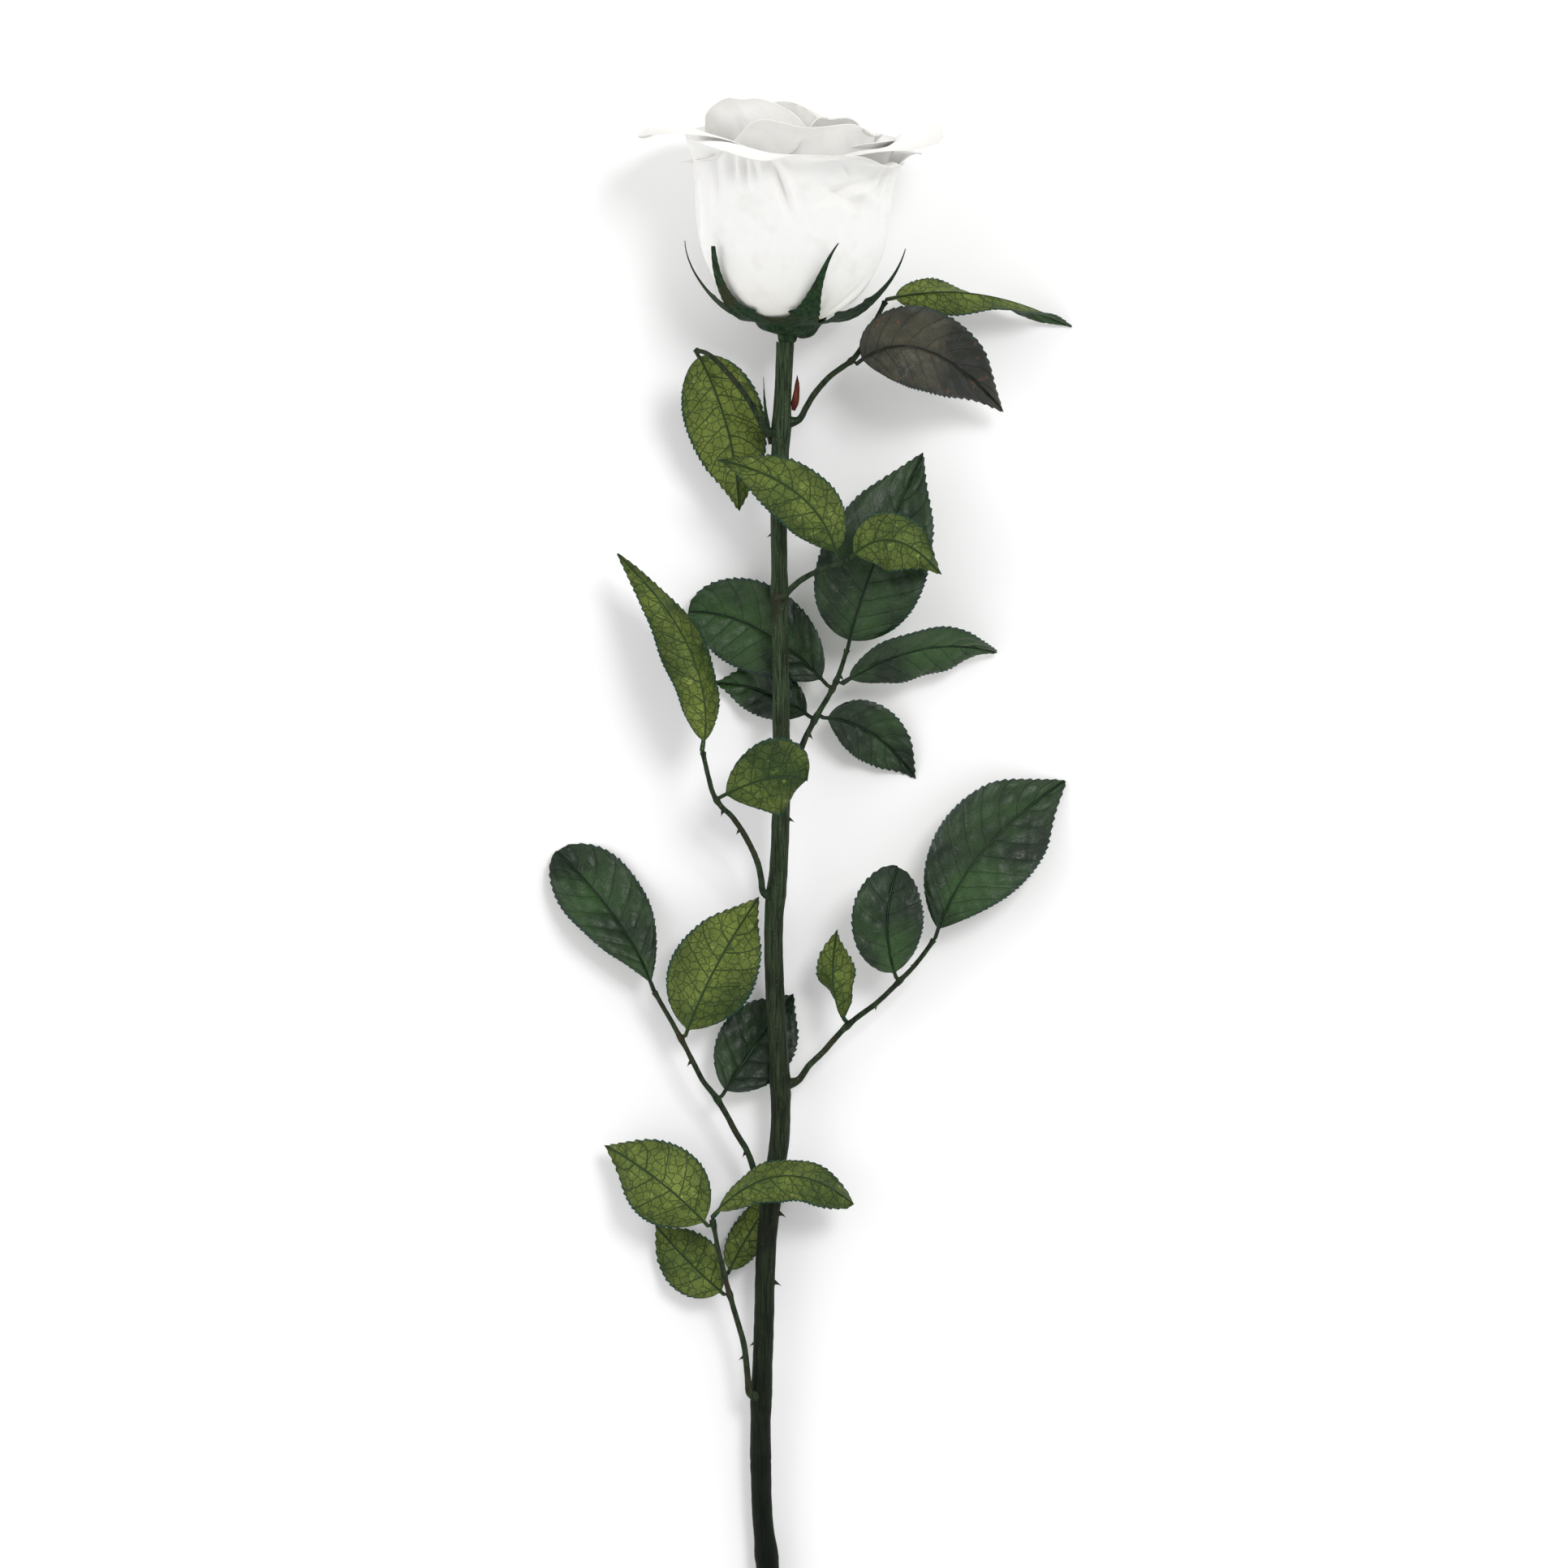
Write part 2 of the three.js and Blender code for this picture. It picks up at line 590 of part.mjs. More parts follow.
const rose = new THREE.Group();
rose.name = "cut_rose";

function add(name, geometry, material) {
  const mesh = new THREE.Mesh(geometry, material);
  mesh.name = name;
  rose.add(mesh);
}

add("cane", cane(), surface(caneColour, 0.55));
add("receptacle", receptacle(), surface(sepalColour, 0.55));
sepals.forEach((shape, index) => add(`sepal_${index + 1}`, sepal(shape), surface(sepalColour, 0.6)));
for (let order = 0; order < petalCount; order += 1) {
  add(`petal_${String(order + 1).padStart(2, "0")}`, petal(order), surface(petalColour, 0.7));
}
add("petal_heart", petalHeart(), surface(heartColour, 0.7));
leaves.forEach((leaf) => {
  add(`${leaf.name}_stalk`, leafStalk(leaf), surface(caneColour, 0.55));
  leaf.leaflets.forEach((shape, index) => {
    const colour = shape.pale ? leafPaleColour : leafDarkColour;
    add(`${leaf.name}_leaflet_${index + 1}`, leaflet(leaf, shape), surface(colour, 0.45));
  });
});
add("axil_bud", spindle(besideCane(0.054, 4, 1.4), besideCane(0.034, 4, 1.7), 1.1, 8), surface(budColour, 0.5));
add("scale_leaf", spindle(besideCane(0.081, 196, 1.1), besideCane(0.038, 190, 2.9), 0.6, 6), surface(caneColour, 0.5));

// the middle of its box stands on the origin
const box = new THREE.Box3().setFromObject(rose);
const shift = new THREE.Vector3((box.min.x + box.max.x) / 2, (box.min.y + box.max.y) / 2, box.min.z);
rose.children.forEach((mesh) => mesh.geometry.translate(-shift.x, -shift.y, -shift.z));

export default rose;
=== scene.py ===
# A cut white rose lying on a pale table: the bloom, its pricked cane and eight toothed leaves.
import math
import bmesh
import bpy
import numpy as np
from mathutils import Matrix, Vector


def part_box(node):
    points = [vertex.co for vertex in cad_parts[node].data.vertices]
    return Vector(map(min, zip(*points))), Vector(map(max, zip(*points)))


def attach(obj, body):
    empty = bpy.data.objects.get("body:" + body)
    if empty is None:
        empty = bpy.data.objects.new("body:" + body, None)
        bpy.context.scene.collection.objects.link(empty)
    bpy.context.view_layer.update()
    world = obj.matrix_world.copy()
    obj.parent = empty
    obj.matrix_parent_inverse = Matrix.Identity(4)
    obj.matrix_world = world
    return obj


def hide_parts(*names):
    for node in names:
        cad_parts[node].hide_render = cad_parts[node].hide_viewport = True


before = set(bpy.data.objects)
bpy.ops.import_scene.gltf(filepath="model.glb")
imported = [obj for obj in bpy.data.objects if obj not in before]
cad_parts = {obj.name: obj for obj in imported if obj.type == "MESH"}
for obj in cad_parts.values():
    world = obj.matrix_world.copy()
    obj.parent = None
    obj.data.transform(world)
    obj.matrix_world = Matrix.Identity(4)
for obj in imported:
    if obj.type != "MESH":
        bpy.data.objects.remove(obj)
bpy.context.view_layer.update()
print("frame loaded:", len(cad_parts), "pieces")


# ---- small helpers

def colour(hexValue):  # an sRGB hex value as the linear colour that a shader reads
    parts = [int(hexValue[i:i + 2], 16) / 255 for i in (1, 3, 5)]
    linear = [p / 12.92 if p <= 0.04045 else ((p + 0.055) / 1.055) ** 2.4 for p in parts]
    return (*linear, 1.0)


def wire(tree, node, inputs):  # inputs by name or in socket order: a node or a socket is linked, the rest are values
    for key, value in inputs.items() if isinstance(inputs, dict) else enumerate(inputs):
        if isinstance(value, bpy.types.Node):
            value = next(socket for socket in value.outputs if socket.enabled)
        if isinstance(value, bpy.types.NodeSocket):
            tree.links.new(value, node.inputs[key])
        else:
            node.inputs[key].default_value = value


def put(tree, kind, inputs=(), **settings):  # a kind without the word Node in it is a shader node
    node = tree.nodes.new(kind if "Node" in kind else "ShaderNode" + kind)
    for key, value in settings.items():
        setattr(node, key, value)
    wire(tree, node, inputs)
    return node


def newMaterial(name):
    material = bpy.data.materials.new(name)
    material.use_nodes = True
    return material, material.node_tree, material.node_tree.nodes["Principled BSDF"]


def newGroup(name, sockets):  # a node tree that makes a mesh, and the identifier of each of its inputs
    tree = bpy.data.node_groups.new(name, "GeometryNodeTree")
    face = tree.interface
    made = [face.new_socket(socket, in_out="INPUT", socket_type="NodeSocket" + kind) for socket, kind in sockets]
    face.new_socket("Mesh", in_out="OUTPUT", socket_type="NodeSocketGeometry")
    return tree, {socket.name: socket.identifier for socket in made}


def closeGroup(tree, given, mesh):
    whole = put(tree, "GeometryNodeRealizeInstances", [mesh])
    painted = put(tree, "GeometryNodeSetMaterial", {"Geometry": whole, "Material": given.outputs["Skin"]})
    put(tree, "NodeGroupOutput", [painted])


def addObject(name, data):
    made = bpy.data.objects.new(name, data)
    bpy.context.collection.objects.link(made)
    return made


def shadeSmooth(mesh, sharp):
    mesh.shade_smooth()
    mesh.set_sharp_from_angle(angle=math.radians(sharp))


def growMesh(source, name, tree, identifiers, values, sharp=50):  # what the tree makes of the source, as a plain mesh
    maker = source.modifiers.new("maker", "NODES")
    maker.node_group = tree
    for key, value in values.items():
        maker[identifiers[key]] = value
    graph = bpy.context.evaluated_depsgraph_get()
    mesh = bpy.data.meshes.new_from_object(source.evaluated_get(graph), depsgraph=graph)
    mesh.name = name
    piece = addObject(name, mesh)
    data = source.data
    bpy.data.objects.remove(source)
    (bpy.data.curves if isinstance(data, bpy.types.Curve) else bpy.data.meshes).remove(data)
    shadeSmooth(mesh, sharp)
    return piece


def smooth(low, high, value):
    x = np.clip((value - low) / (high - low), 0, 1)
    return x * x * (3 - 2 * x)


def easeTable(table, place):  # smooth reading of [place, value] rows, exact at each row
    xs = np.array([row[0] for row in table], float)
    ys = np.array([row[1] for row in table], float)
    slopes = np.gradient(ys, xs)
    place = np.clip(place, xs[0], xs[-1])
    i = np.clip(np.searchsorted(xs, place, side="right") - 1, 0, len(xs) - 2)
    step = xs[i + 1] - xs[i]
    u = (place - xs[i]) / step
    return ((2 * u ** 3 - 3 * u ** 2 + 1) * ys[i] + (u ** 3 - 2 * u ** 2 + u) * step * slopes[i]
            + (-2 * u ** 3 + 3 * u ** 2) * ys[i + 1] + (u ** 3 - u ** 2) * step * slopes[i + 1])


def lineTable(table, place):
    return np.interp(place, [row[0] for row in table], [row[1] for row in table])


def unit(vectors):
    return vectors / np.maximum(np.linalg.norm(vectors, axis=-1, keepdims=True), 1e-12)


def ripple(x, y, seed):  # slow smooth unevenness, about -1 to 1
    return (np.sin(1.7 * x + 2.3 * y + seed) + np.sin(-2.9 * x + 1.1 * y + 2.1 * seed + 1)
            + np.sin(4.3 * x + 3.7 * y + 0.7 * seed + 2) * 0.5) / 2.5


def newObject(name, points, faces, materials, faceMaterial=None, uvs=None, sharp=40):
    mesh = bpy.data.meshes.new(name)
    points = np.asarray(points, np.float32)
    faces = np.asarray(faces, np.int32)
    mesh.vertices.add(len(points))
    mesh.vertices.foreach_set("co", points.ravel())
    mesh.loops.add(faces.size)
    mesh.loops.foreach_set("vertex_index", faces.ravel())
    mesh.polygons.add(len(faces))
    mesh.polygons.foreach_set("loop_start", np.arange(0, faces.size, faces.shape[1], dtype=np.int32))
    for material in materials:
        mesh.materials.append(material)
    if faceMaterial is not None:
        mesh.polygons.foreach_set("material_index", np.asarray(faceMaterial, np.int32))
    for layer, values in (uvs or {}).items():
        made = mesh.uv_layers.new(name=layer)
        made.data.foreach_set("uv", np.asarray(values, np.float32)[faces.ravel()].ravel())
    mesh.update(calc_edges=True)
    mesh.validate()
    shadeSmooth(mesh, sharp)
    return addObject(name, mesh)


def plainMesh(name, points, faces):
    mesh = bpy.data.meshes.new(name)
    mesh.from_pydata(points, [], faces)
    return addObject(name, mesh)


def sheet(upper, under):  # a closed thin sheet from two matching grids: its points, faces and each face's side
    rows, columns = upper.shape[:2]
    points = np.concatenate([upper.reshape(-1, 3), under.reshape(-1, 3)])
    r, c = np.meshgrid(np.arange(rows - 1), np.arange(columns - 1), indexing="ij")
    here = (r * columns + c).ravel()
    lower = rows * columns
    top = np.stack([here, here + 1, here + columns + 1, here + columns], 1)
    bottom = np.stack([here, here + columns, here + columns + 1, here + 1], 1) + lower
    border = np.concatenate([np.arange(columns - 1), np.arange(rows - 1) * columns + columns - 1,
                             (rows - 1) * columns + np.arange(columns - 1, 0, -1),
                             np.arange(rows - 1, 0, -1) * columns])
    ahead = np.roll(border, -1)
    rim = np.stack([border, border + lower, ahead + lower, ahead], 1)
    faces = np.concatenate([top, bottom, rim])
    side = np.concatenate([np.zeros(len(top)), np.ones(len(bottom)), np.zeros(len(rim))])
    return points, faces, side


# ---- materials

# the last tone greys the rim: painted shade on the lip
petalLook = dict(tones=[(0, "#d3d7b0"), (0.22, "#ebe9e0"), (0.5, "#f0efec"), (0.93, "#f0efec"), (1, "#dad8d1")],
                 bruise="#dddbd5", rough=(0.5, 0.62), specular=0.3, sheen=0.12, glow=0.4, glowDepth=0.0016)


def petalSkin(look):  # waxy white rose petal: cells full of air scatter the light, so it glows softly and never glints
    material, tree, shader = newMaterial("white rose petal skin")
    way = put(tree, "UVMap", uv_map="petal")
    # V is the way from foot to rim: green-cream at the foot, white above; the rim is thinner, and its grey is painted
    # shade that sets the lip off from the white floor
    upwards = put(tree, "SeparateXYZ", [way]).outputs[1]
    blush = put(tree, "ValToRGB", [upwards])
    stops = blush.color_ramp.elements
    stops[0].color, stops[1].color = colour(look["tones"][0][1]), colour(look["tones"][-1][1])
    for position, tone in look["tones"][1:-1]:
        stops.new(position).color = colour(tone)
    # fine veins fan along the petal: about 1 mm apart, with finer ones between
    stretch = put(tree, "Mapping", {"Vector": way, "Scale": (34.0, 2.2, 1.0)})
    veins = put(tree, "TexNoise", {"Vector": stretch, "Scale": 1.6, "Detail": 3.0, "Roughness": 0.6})
    place = put(tree, "TexCoord").outputs["Object"]
    bruise = put(tree, "TexNoise", {"Vector": place, "Scale": 160.0, "Detail": 2.0})  # about 6 mm wide
    amount = put(tree, "MapRange", [bruise, 0.52, 0.8, 0.0, 0.5])
    tint = put(tree, "Mix", {0: amount, "A": blush, "B": colour(look["bruise"])}, data_type="RGBA")
    bump = put(tree, "Bump", {"Strength": 0.25, "Distance": 0.00025, "Height": veins})
    gloss = put(tree, "MapRange", [veins, 0.3, 0.7, *look["rough"]])
    wire(tree, shader, {
        "Base Color": tint, "Normal": bump, "Roughness": gloss, "Subsurface Weight": look["glow"],
        "Subsurface Radius": (1.0, 0.97, 0.93), "Subsurface Scale": look["glowDepth"],
        "Specular IOR Level": look["specular"], "Sheen Weight": look["sheen"], "Sheen Roughness": 0.5})
    return material


# waxed cuticle over dark palisade cells: deep green with a satin light on it, veins are thin sunk dark lines
waxedLeaf = dict(name="rose leaf waxed upper side", flesh="#081e08", flesh2="#26431b", vein="#122014", edge="#0c2a24",
                 spot="#3d4a33", rough=(0.3, 0.54), specular=0.34, net=0.12, side=0.4, relief=-0.8, patch=(0.84, 1.18),
                 ribWide=(0.1, 0.28), sideWide=(0.04, 0.02))
# an older blade gone brown in the sun; its paler grey patches are painted sheen in part, and in part its own mottling
bronzedLeaf = dict(waxedLeaf, name="bronzed rose leaf upper side", flesh="#151910", flesh2="#3a392b", vein="#141912",
                   edge="#10251f", spot="#6b4320", rough=(0.33, 0.54), specular=0.36, patch=(0.86, 1.14))
# spongy pale cells with no wax: matt yellow-green that lets light through, fine dark veins stand out
leafBack = dict(name="rose leaf matt underside", flesh="#6b7a34", flesh2="#2c3f15", vein="#1c3016", edge="#123d33",
                spot="#98a558", rough=(0.5, 0.62), specular=0.22, net=0.7, side=0.9, relief=0.8, patch=(0.74, 1.3),
                ribWide=(0.14, 0.34), sideWide=(0.036, 0.018))


def leafSkin(look):
    material, tree, shader = newMaterial(look["name"])
    place = put(tree, "TexCoord").outputs["Object"]
    blade = put(tree, "UVMap", uv_map="blade")  # millimetres across and along
    ribs = put(tree, "UVMap", uv_map="ribs")  # count of side veins, and share of the half width
    ribCount, outwards = put(tree, "SeparateXYZ", [ribs]).outputs[:2]

    # side veins: nearest whole count, thinner towards the edge
    wobble = put(tree, "TexNoise", {"Vector": blade, "Scale": 0.35, "Detail": 1.0})
    shake = put(tree, "Math", [wobble, 0.16], operation="MULTIPLY")
    count = put(tree, "Math", [ribCount, shake], operation="ADD")
    near = put(tree, "Math", [count, 1.0], operation="PINGPONG")
    fold = put(tree, "Math", [near, 0.5], operation="SUBTRACT")
    far = put(tree, "Math", [fold], operation="ABSOLUTE")
    gapHere = put(tree, "Math", [0.5, far], operation="SUBTRACT")
    thin = put(tree, "MapRange", [outwards, 0.0, 1.0, *look["sideWide"]])
    side = put(tree, "Math", [gapHere, thin], operation="DIVIDE")
    sideMask = put(tree, "MapRange", [side, 0.5, 1.4, look["side"], 0.0])

    # middle rib, about half a millimetre wide
    across = put(tree, "Math", [put(tree, "SeparateXYZ", [blade])], operation="ABSOLUTE")
    middle = put(tree, "MapRange", [across, *look["ribWide"], 1.0, 0.0])

    # the net between them: cells 2.2 mm wide with a finer one inside
    coarse = put(tree, "TexVoronoi", {"Vector": blade, "Scale": 0.45, "Randomness": 0.9},
                 feature="DISTANCE_TO_EDGE")
    coarseMask = put(tree, "MapRange", [coarse, 0.015, 0.06, 1.0, 0.0])
    fine = put(tree, "TexVoronoi", {"Vector": blade, "Scale": 1.5}, feature="DISTANCE_TO_EDGE")
    fineMask = put(tree, "MapRange", [fine, 0.02, 0.12, 0.3, 0.0])
    net = put(tree, "Math", [coarseMask, fineMask], operation="MAXIMUM")
    netHere = put(tree, "Math", [net, look["net"]], operation="MULTIPLY")
    trunk = put(tree, "Math", [sideMask, middle], operation="MAXIMUM")
    allVeins = put(tree, "Math", [trunk, netHere], operation="MAXIMUM")

    # patches about 10 and 24 mm wide, dry specks about 2 mm wide, and the serrated edge in its own tone
    mottle = put(tree, "TexNoise", {"Vector": place, "Scale": 95.0, "Detail": 4.0, "Roughness": 0.6})
    broad = put(tree, "TexNoise", {"Vector": place, "Scale": 42.0, "Detail": 1.0})
    both = put(tree, "Math", [mottle, broad], operation="ADD")
    shown = put(tree, "MapRange", [both, *look["patch"]])
    dry = put(tree, "TexNoise", {"Vector": place, "Scale": 420.0, "Detail": 3.0})
    dryMask = put(tree, "MapRange", [dry, 0.62, 0.75, 0.0, 0.5])
    edgeMask = put(tree, "MapRange", [outwards, 0.9, 0.99])
    tone = colour(look["flesh"])
    for mask, part in ((shown, "flesh2"), (dryMask, "spot"), (allVeins, "vein"), (edgeMask, "edge")):
        tone = put(tree, "Mix", {0: mask, "A": tone, "B": colour(look[part])}, data_type="RGBA")
    # grain of the cells, drawn 0.4 mm wide so that it shows
    grain = put(tree, "TexNoise", {"Vector": place, "Scale": 2400.0, "Detail": 2.0})
    speck = put(tree, "MapRange", [grain, 0.3, 0.75, 0.78, 1.3])
    # painted shade: lighter along the middle rib and darker towards the edge of the blade
    rimShade = put(tree, "MapRange", [outwards, 0.1, 1.0, 1.16, 0.8])
    shade = put(tree, "Math", [speck, rimShade], operation="MULTIPLY")
    grained = put(tree, "VectorMath", {0: tone, "Scale": shade}, operation="SCALE")

    wax = put(tree, "MapRange", [mottle, 0.3, 0.7, *look["rough"]])
    bump = put(tree, "Bump", {"Strength": abs(look["relief"]), "Distance": 0.0004, "Height": allVeins},
               invert=look["relief"] < 0)
    skin = put(tree, "Bump", {"Strength": 0.12, "Distance": 0.0001, "Height": grain, "Normal": bump})
    wire(tree, shader, {"Base Color": grained, "Roughness": wax, "Normal": skin,
                        "Specular IOR Level": look["specular"]})
    return material


def stemSkin(name, dark, light, patch, rough, streak, cutEndShade=0.0):  # streak: noise cells per metre along x, y, z
    material, tree, shader = newMaterial(name)
    place = put(tree, "TexCoord").outputs["Object"]
    along = put(tree, "Mapping", {"Vector": place, "Scale": streak})
    fibres = put(tree, "TexNoise", {"Vector": along, "Scale": 1.0, "Detail": 4.0, "Roughness": 0.65})
    band = put(tree, "MapRange", [fibres, 0.35, 0.68])
    blotch = put(tree, "TexNoise", {"Vector": place, "Scale": 110.0, "Detail": 3.0})  # about 9 mm wide
    some = put(tree, "MapRange", [blotch, 0.52, 0.68, 0.0, 0.7])
    pores = put(tree, "TexVoronoi", {"Vector": place, "Scale": 700.0})  # about 1.4 mm apart
    dots = put(tree, "MapRange", [pores, 0.08, 0.16, 0.4, 0.0])
    # painted shade: the cane darkens towards its cut end
    lengthways = put(tree, "SeparateXYZ", [place]).outputs[1]
    cutEndShadeMask = put(tree, "MapRange", [lengthways, 0.06, -0.16, 0.0, cutEndShade])
    tone = colour(dark)
    for mask, part in ((band, light), (some, patch), (dots, "#6d705a"), (cutEndShadeMask, "#020603")):
        tone = put(tree, "Mix", {0: mask, "A": tone, "B": colour(part)}, data_type="RGBA")
    bump = put(tree, "Bump", {"Strength": 0.7, "Distance": 0.0002, "Height": fibres})
    gloss = put(tree, "MapRange", [blotch, 0.3, 0.7, *rough])
    wire(tree, shader, {"Base Color": tone, "Normal": bump, "Roughness": gloss, "Specular IOR Level": 0.1})
    return material


whitePetal = petalSkin(petalLook)
leafUpper, leafBronzed, leafUnder = leafSkin(waxedLeaf), leafSkin(bronzedLeaf), leafSkin(leafBack)
# green cane bark: smooth waxed skin with long fibres, brown patches and pale pores, and painted shade that darkens it
# towards the cut end
caneBark = stemSkin("green rose cane bark", "#0d190d", "#414f36", "#1f2017", (0.5, 0.64), (2600.0, 90.0, 2600.0), 0.95)
# young green skin on the leaf stalks: thin wax, so a faint satin line runs along it
stalkSkin = stemSkin("leaf stalk skin", "#121d14", "#2f3d26", "#33291f", (0.42, 0.58), (900.0, 400.0, 900.0))
# short down on the sepals: matt deep green, streaked along
sepalSkin = stemSkin("downy sepal green", "#0d1e15", "#294226", "#33301d", (0.55, 0.7), (900.0, 160.0, 900.0))
# thin overlapping scales of a side bud: dull brick red
budScale = stemSkin("red bud scale", "#3a1712", "#67301f", "#31231a", (0.4, 0.5), (600.0, 160.0, 600.0))
# hard dry horn of the prickles: brown-green, a little shinier than the bark
pricklePoint = stemSkin("dry prickle horn", "#1b1f17", "#3c3626", "#28301f", (0.35, 0.5), (600.0, 600.0, 600.0))
# freshly cut cane: wet pale wood round a white pith
cutWood = stemSkin("fresh cut cane wood", "#9aa06f", "#c9cba0", "#7c8454", (0.6, 0.75), (1500.0, 1500.0, 1500.0))
print("materials made")


# ---- bloom

bloom = dict(bellyRadius=25.0, length=48.0, lipRadius=34.6, tilt=10.0, lean=1.6, petals=18, innermost=7.9, claw=2.9,
             turn=137.5, first=5.0, thickness=0.34, rightDrop=5.4, crease=1.3)
bloom["step"] = (bloom["bellyRadius"] - bloom["innermost"]) / bloom["petals"]
belly, tall, lipOut = bloom["bellyRadius"], bloom["length"], bloom["lipRadius"]

# the outermost petal face from foot to rim: share of the way, radius, height on the axis
shellRows = [(0, bloom["claw"], 1.7), (0.125, 0.391 * belly, 0.046 * tall), (0.25, 0.658 * belly, 0.121 * tall),
             (0.375, 0.848 * belly, 0.25 * tall), (0.5, 0.963 * belly, 0.417 * tall), (0.625, belly, 0.594 * tall),
             (0.75, 1.037 * belly, 0.76 * tall), (0.86, 0.66 * belly + 0.34 * lipOut, 0.894 * tall),
             (1, lipOut, tall)]
shellRadius = [(row[0], row[1]) for row in shellRows]
shellHeight = [(row[0], row[2]) for row in shellRows]
# how far a petal deeper in the bloom is drawn towards the axis, and how much its face is raised, per millimetre
drawnIn = [(0, 0), (0.125, 0.35), (0.25, 0.75), (0.375, 0.95), (0.5, 1), (0.75, 1.05), (0.86, 1.15), (1, 1.43)]
raised = [(0, 1), (0.125, 0.95), (0.25, 0.75), (0.375, 0.5), (0.5, 0.35), (0.625, 0.25), (0.75, 0.2), (1, 0.28)]


def shell(depth, share, azimuth, read=easeTable):
    floorSide = np.maximum(0, -np.cos(azimuth)) ** 3
    lip = smooth(0.74, 1, share) * np.maximum(0, 1 - depth / 16)
    sides, right = np.abs(np.sin(azimuth)), np.sin(azimuth)
    flare = lip * (1.2 * sides + 0.6 * right - 7 * floorSide)  # the table flattens the lip below
    radius = read(shellRadius, share) - depth * read(drawnIn, share) + flare
    height = read(shellHeight, share) + depth * read(raised, share) - lip * (2.4 * sides + 0.8 * right)
    return radius, height


tilt, lean = math.radians(bloom["tilt"]), math.radians(bloom["lean"])
shares = np.array([row[0] for row in shellRows])
restRadius, restHeight = shell(bloom["step"], shares, np.pi, lineTable)
axisHeight = float(np.max(restRadius * math.cos(tilt) - restHeight * math.sin(tilt)))
calyx = np.array([1.1, 0, axisHeight])
bloomAxis = np.array([math.sin(lean), math.cos(lean) * math.cos(tilt), math.cos(lean) * math.sin(tilt)])
bloomRight = np.array([math.cos(lean), -math.sin(lean) * math.cos(tilt), -math.sin(lean) * math.sin(tilt)])
bloomUp = np.cross(bloomRight, bloomAxis)


def onBloom(radius, height, azimuth):
    radius, height, azimuth = np.broadcast_arrays(radius, height, azimuth)
    return (calyx + height[..., None] * bloomAxis + (radius * np.sin(azimuth))[..., None] * bloomRight
            + (radius * np.cos(azimuth))[..., None] * bloomUp)


# the receptacle's own turned outline tells how the row frame sits against the sizes used here
cupRows = [(2.2, -3.6), (3.1, -2.8), (5.2, -1.7), (6.9, -0.3), (6.9, 0.5), (6.2, 0.9)]
turns = np.arange(14) * 2 * np.pi / 14
cup = np.concatenate([onBloom(np.full(14, r), np.full(14, h), turns) for r, h in cupRows])
low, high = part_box("receptacle")
shift = np.array([(low.x + high.x) * 500 - (cup[:, 0].min() + cup[:, 0].max()) / 2,
                  low.y * 1000 - onBloom(2.2, -3.6, turns)[:, 1].min(),
                  low.z * 1000 - cup[:, 2].min()])
print("row frame shift in mm:", shift.round(3))


def toRow(points):
    return (np.asarray(points) + shift) * 0.001


def ready(piece, node, slot, *others):
    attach(piece, "root")
    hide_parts(node, *others)


# each outer petal's lip: degrees it rolls back at places across it, and millimetres its rim stands up there;
# start is the share of the height where the roll begins, long is extra length in it, wide widens the petal
petalLips = {
    0: dict(roll=[(-1, 85), (-0.6, 118), (-0.3, 90), (-0.12, 40), (0.2, 18), (0.6, 26), (0.76, 66), (0.84, 24),
                  (1, 50)],
            rise=[(-1, 3), (-0.5, 1.6), (-0.15, -1.8), (0.2, -2.8), (0.6, -2.6), (0.74, -1.4), (0.82, -2.8),
                  (1, -0.6)], start=0.86, long=0),
    1: dict(roll=[(-1, 45), (1, 30)], rise=[(-1, 0), (1, 0)], start=0.84, long=0),
    2: dict(roll=[(-1, 50), (-0.1, 92), (0.3, 78), (1, 40)], rise=[(-1, 0), (-0.1, 6.6), (0.3, 5.6), (1, -1)],
            start=0.83, long=0.5),
    3: dict(roll=[(-1, 24), (0, 44), (0.5, 66), (1, 50)],
            rise=[(-1, -5), (-0.56, -3.2), (-0.3, -0.4), (0, 2.2), (0.5, 7.2), (1, 0.4)], start=0.84, long=0.95),
    4: dict(roll=[(-1, 36), (1, 30)], rise=[(-1, 0), (1, 0)], start=0.86, long=0),
    5: dict(roll=[(-1, 34), (-0.4, 22), (0.2, 4), (1, 8)],
            rise=[(-1, -7), (-0.25, -6), (-0.1, -4.2), (0, -1.6), (0.08, 1.6), (0.18, 2.8), (0.27, 2.2), (0.38, 1),
                  (0.53, 1.4), (0.68, 3.2), (0.83, 5.4), (1, 7.3)], start=0.88, long=0, wide=1.2),
    6: dict(roll=[(-1, 20), (1, 30)], rise=[(-1, 1), (1, -1)], start=0.86, long=0),
    7: dict(roll=[(-1, 20), (1, 20)], rise=[(-1, -1), (1, -2)], start=0.86, long=0),
    8: dict(roll=[(-1, 4), (1, 20)],
            rise=[(-1, -7), (-0.5, -6.5), (-0.35, -5), (-0.25, -0.6), (-0.17, 2.4), (-0.05, 2.4), (0.14, 2.7),
                  (0.25, 1.2), (0.4, 1), (0.6, 1), (1, 1)], start=0.86, long=0),
    10: dict(roll=[(-1, 20), (0, 4), (1, 2)],
             rise=[(-1, -3), (-0.4, -1.5), (-0.1, 2.6), (0.17, 5.6), (0.4, 6.4), (0.6, 6.3), (0.87, 5.5), (1, 4)],
             start=0.84, long=0),
    13: dict(roll=[(-1, 6), (1, 4)], rise=[(-1, 0), (-0.3, 2.8), (0, 4), (0.18, 3.8), (0.4, 2.2), (0.6, 0), (1, -1)],
             start=0.88, long=0),
}
plainLip = dict(roll=[(-1, 12), (1, 8)], rise=[(-1, 0.6), (0, 1.2), (1, 0.2)], start=0.88, long=0)
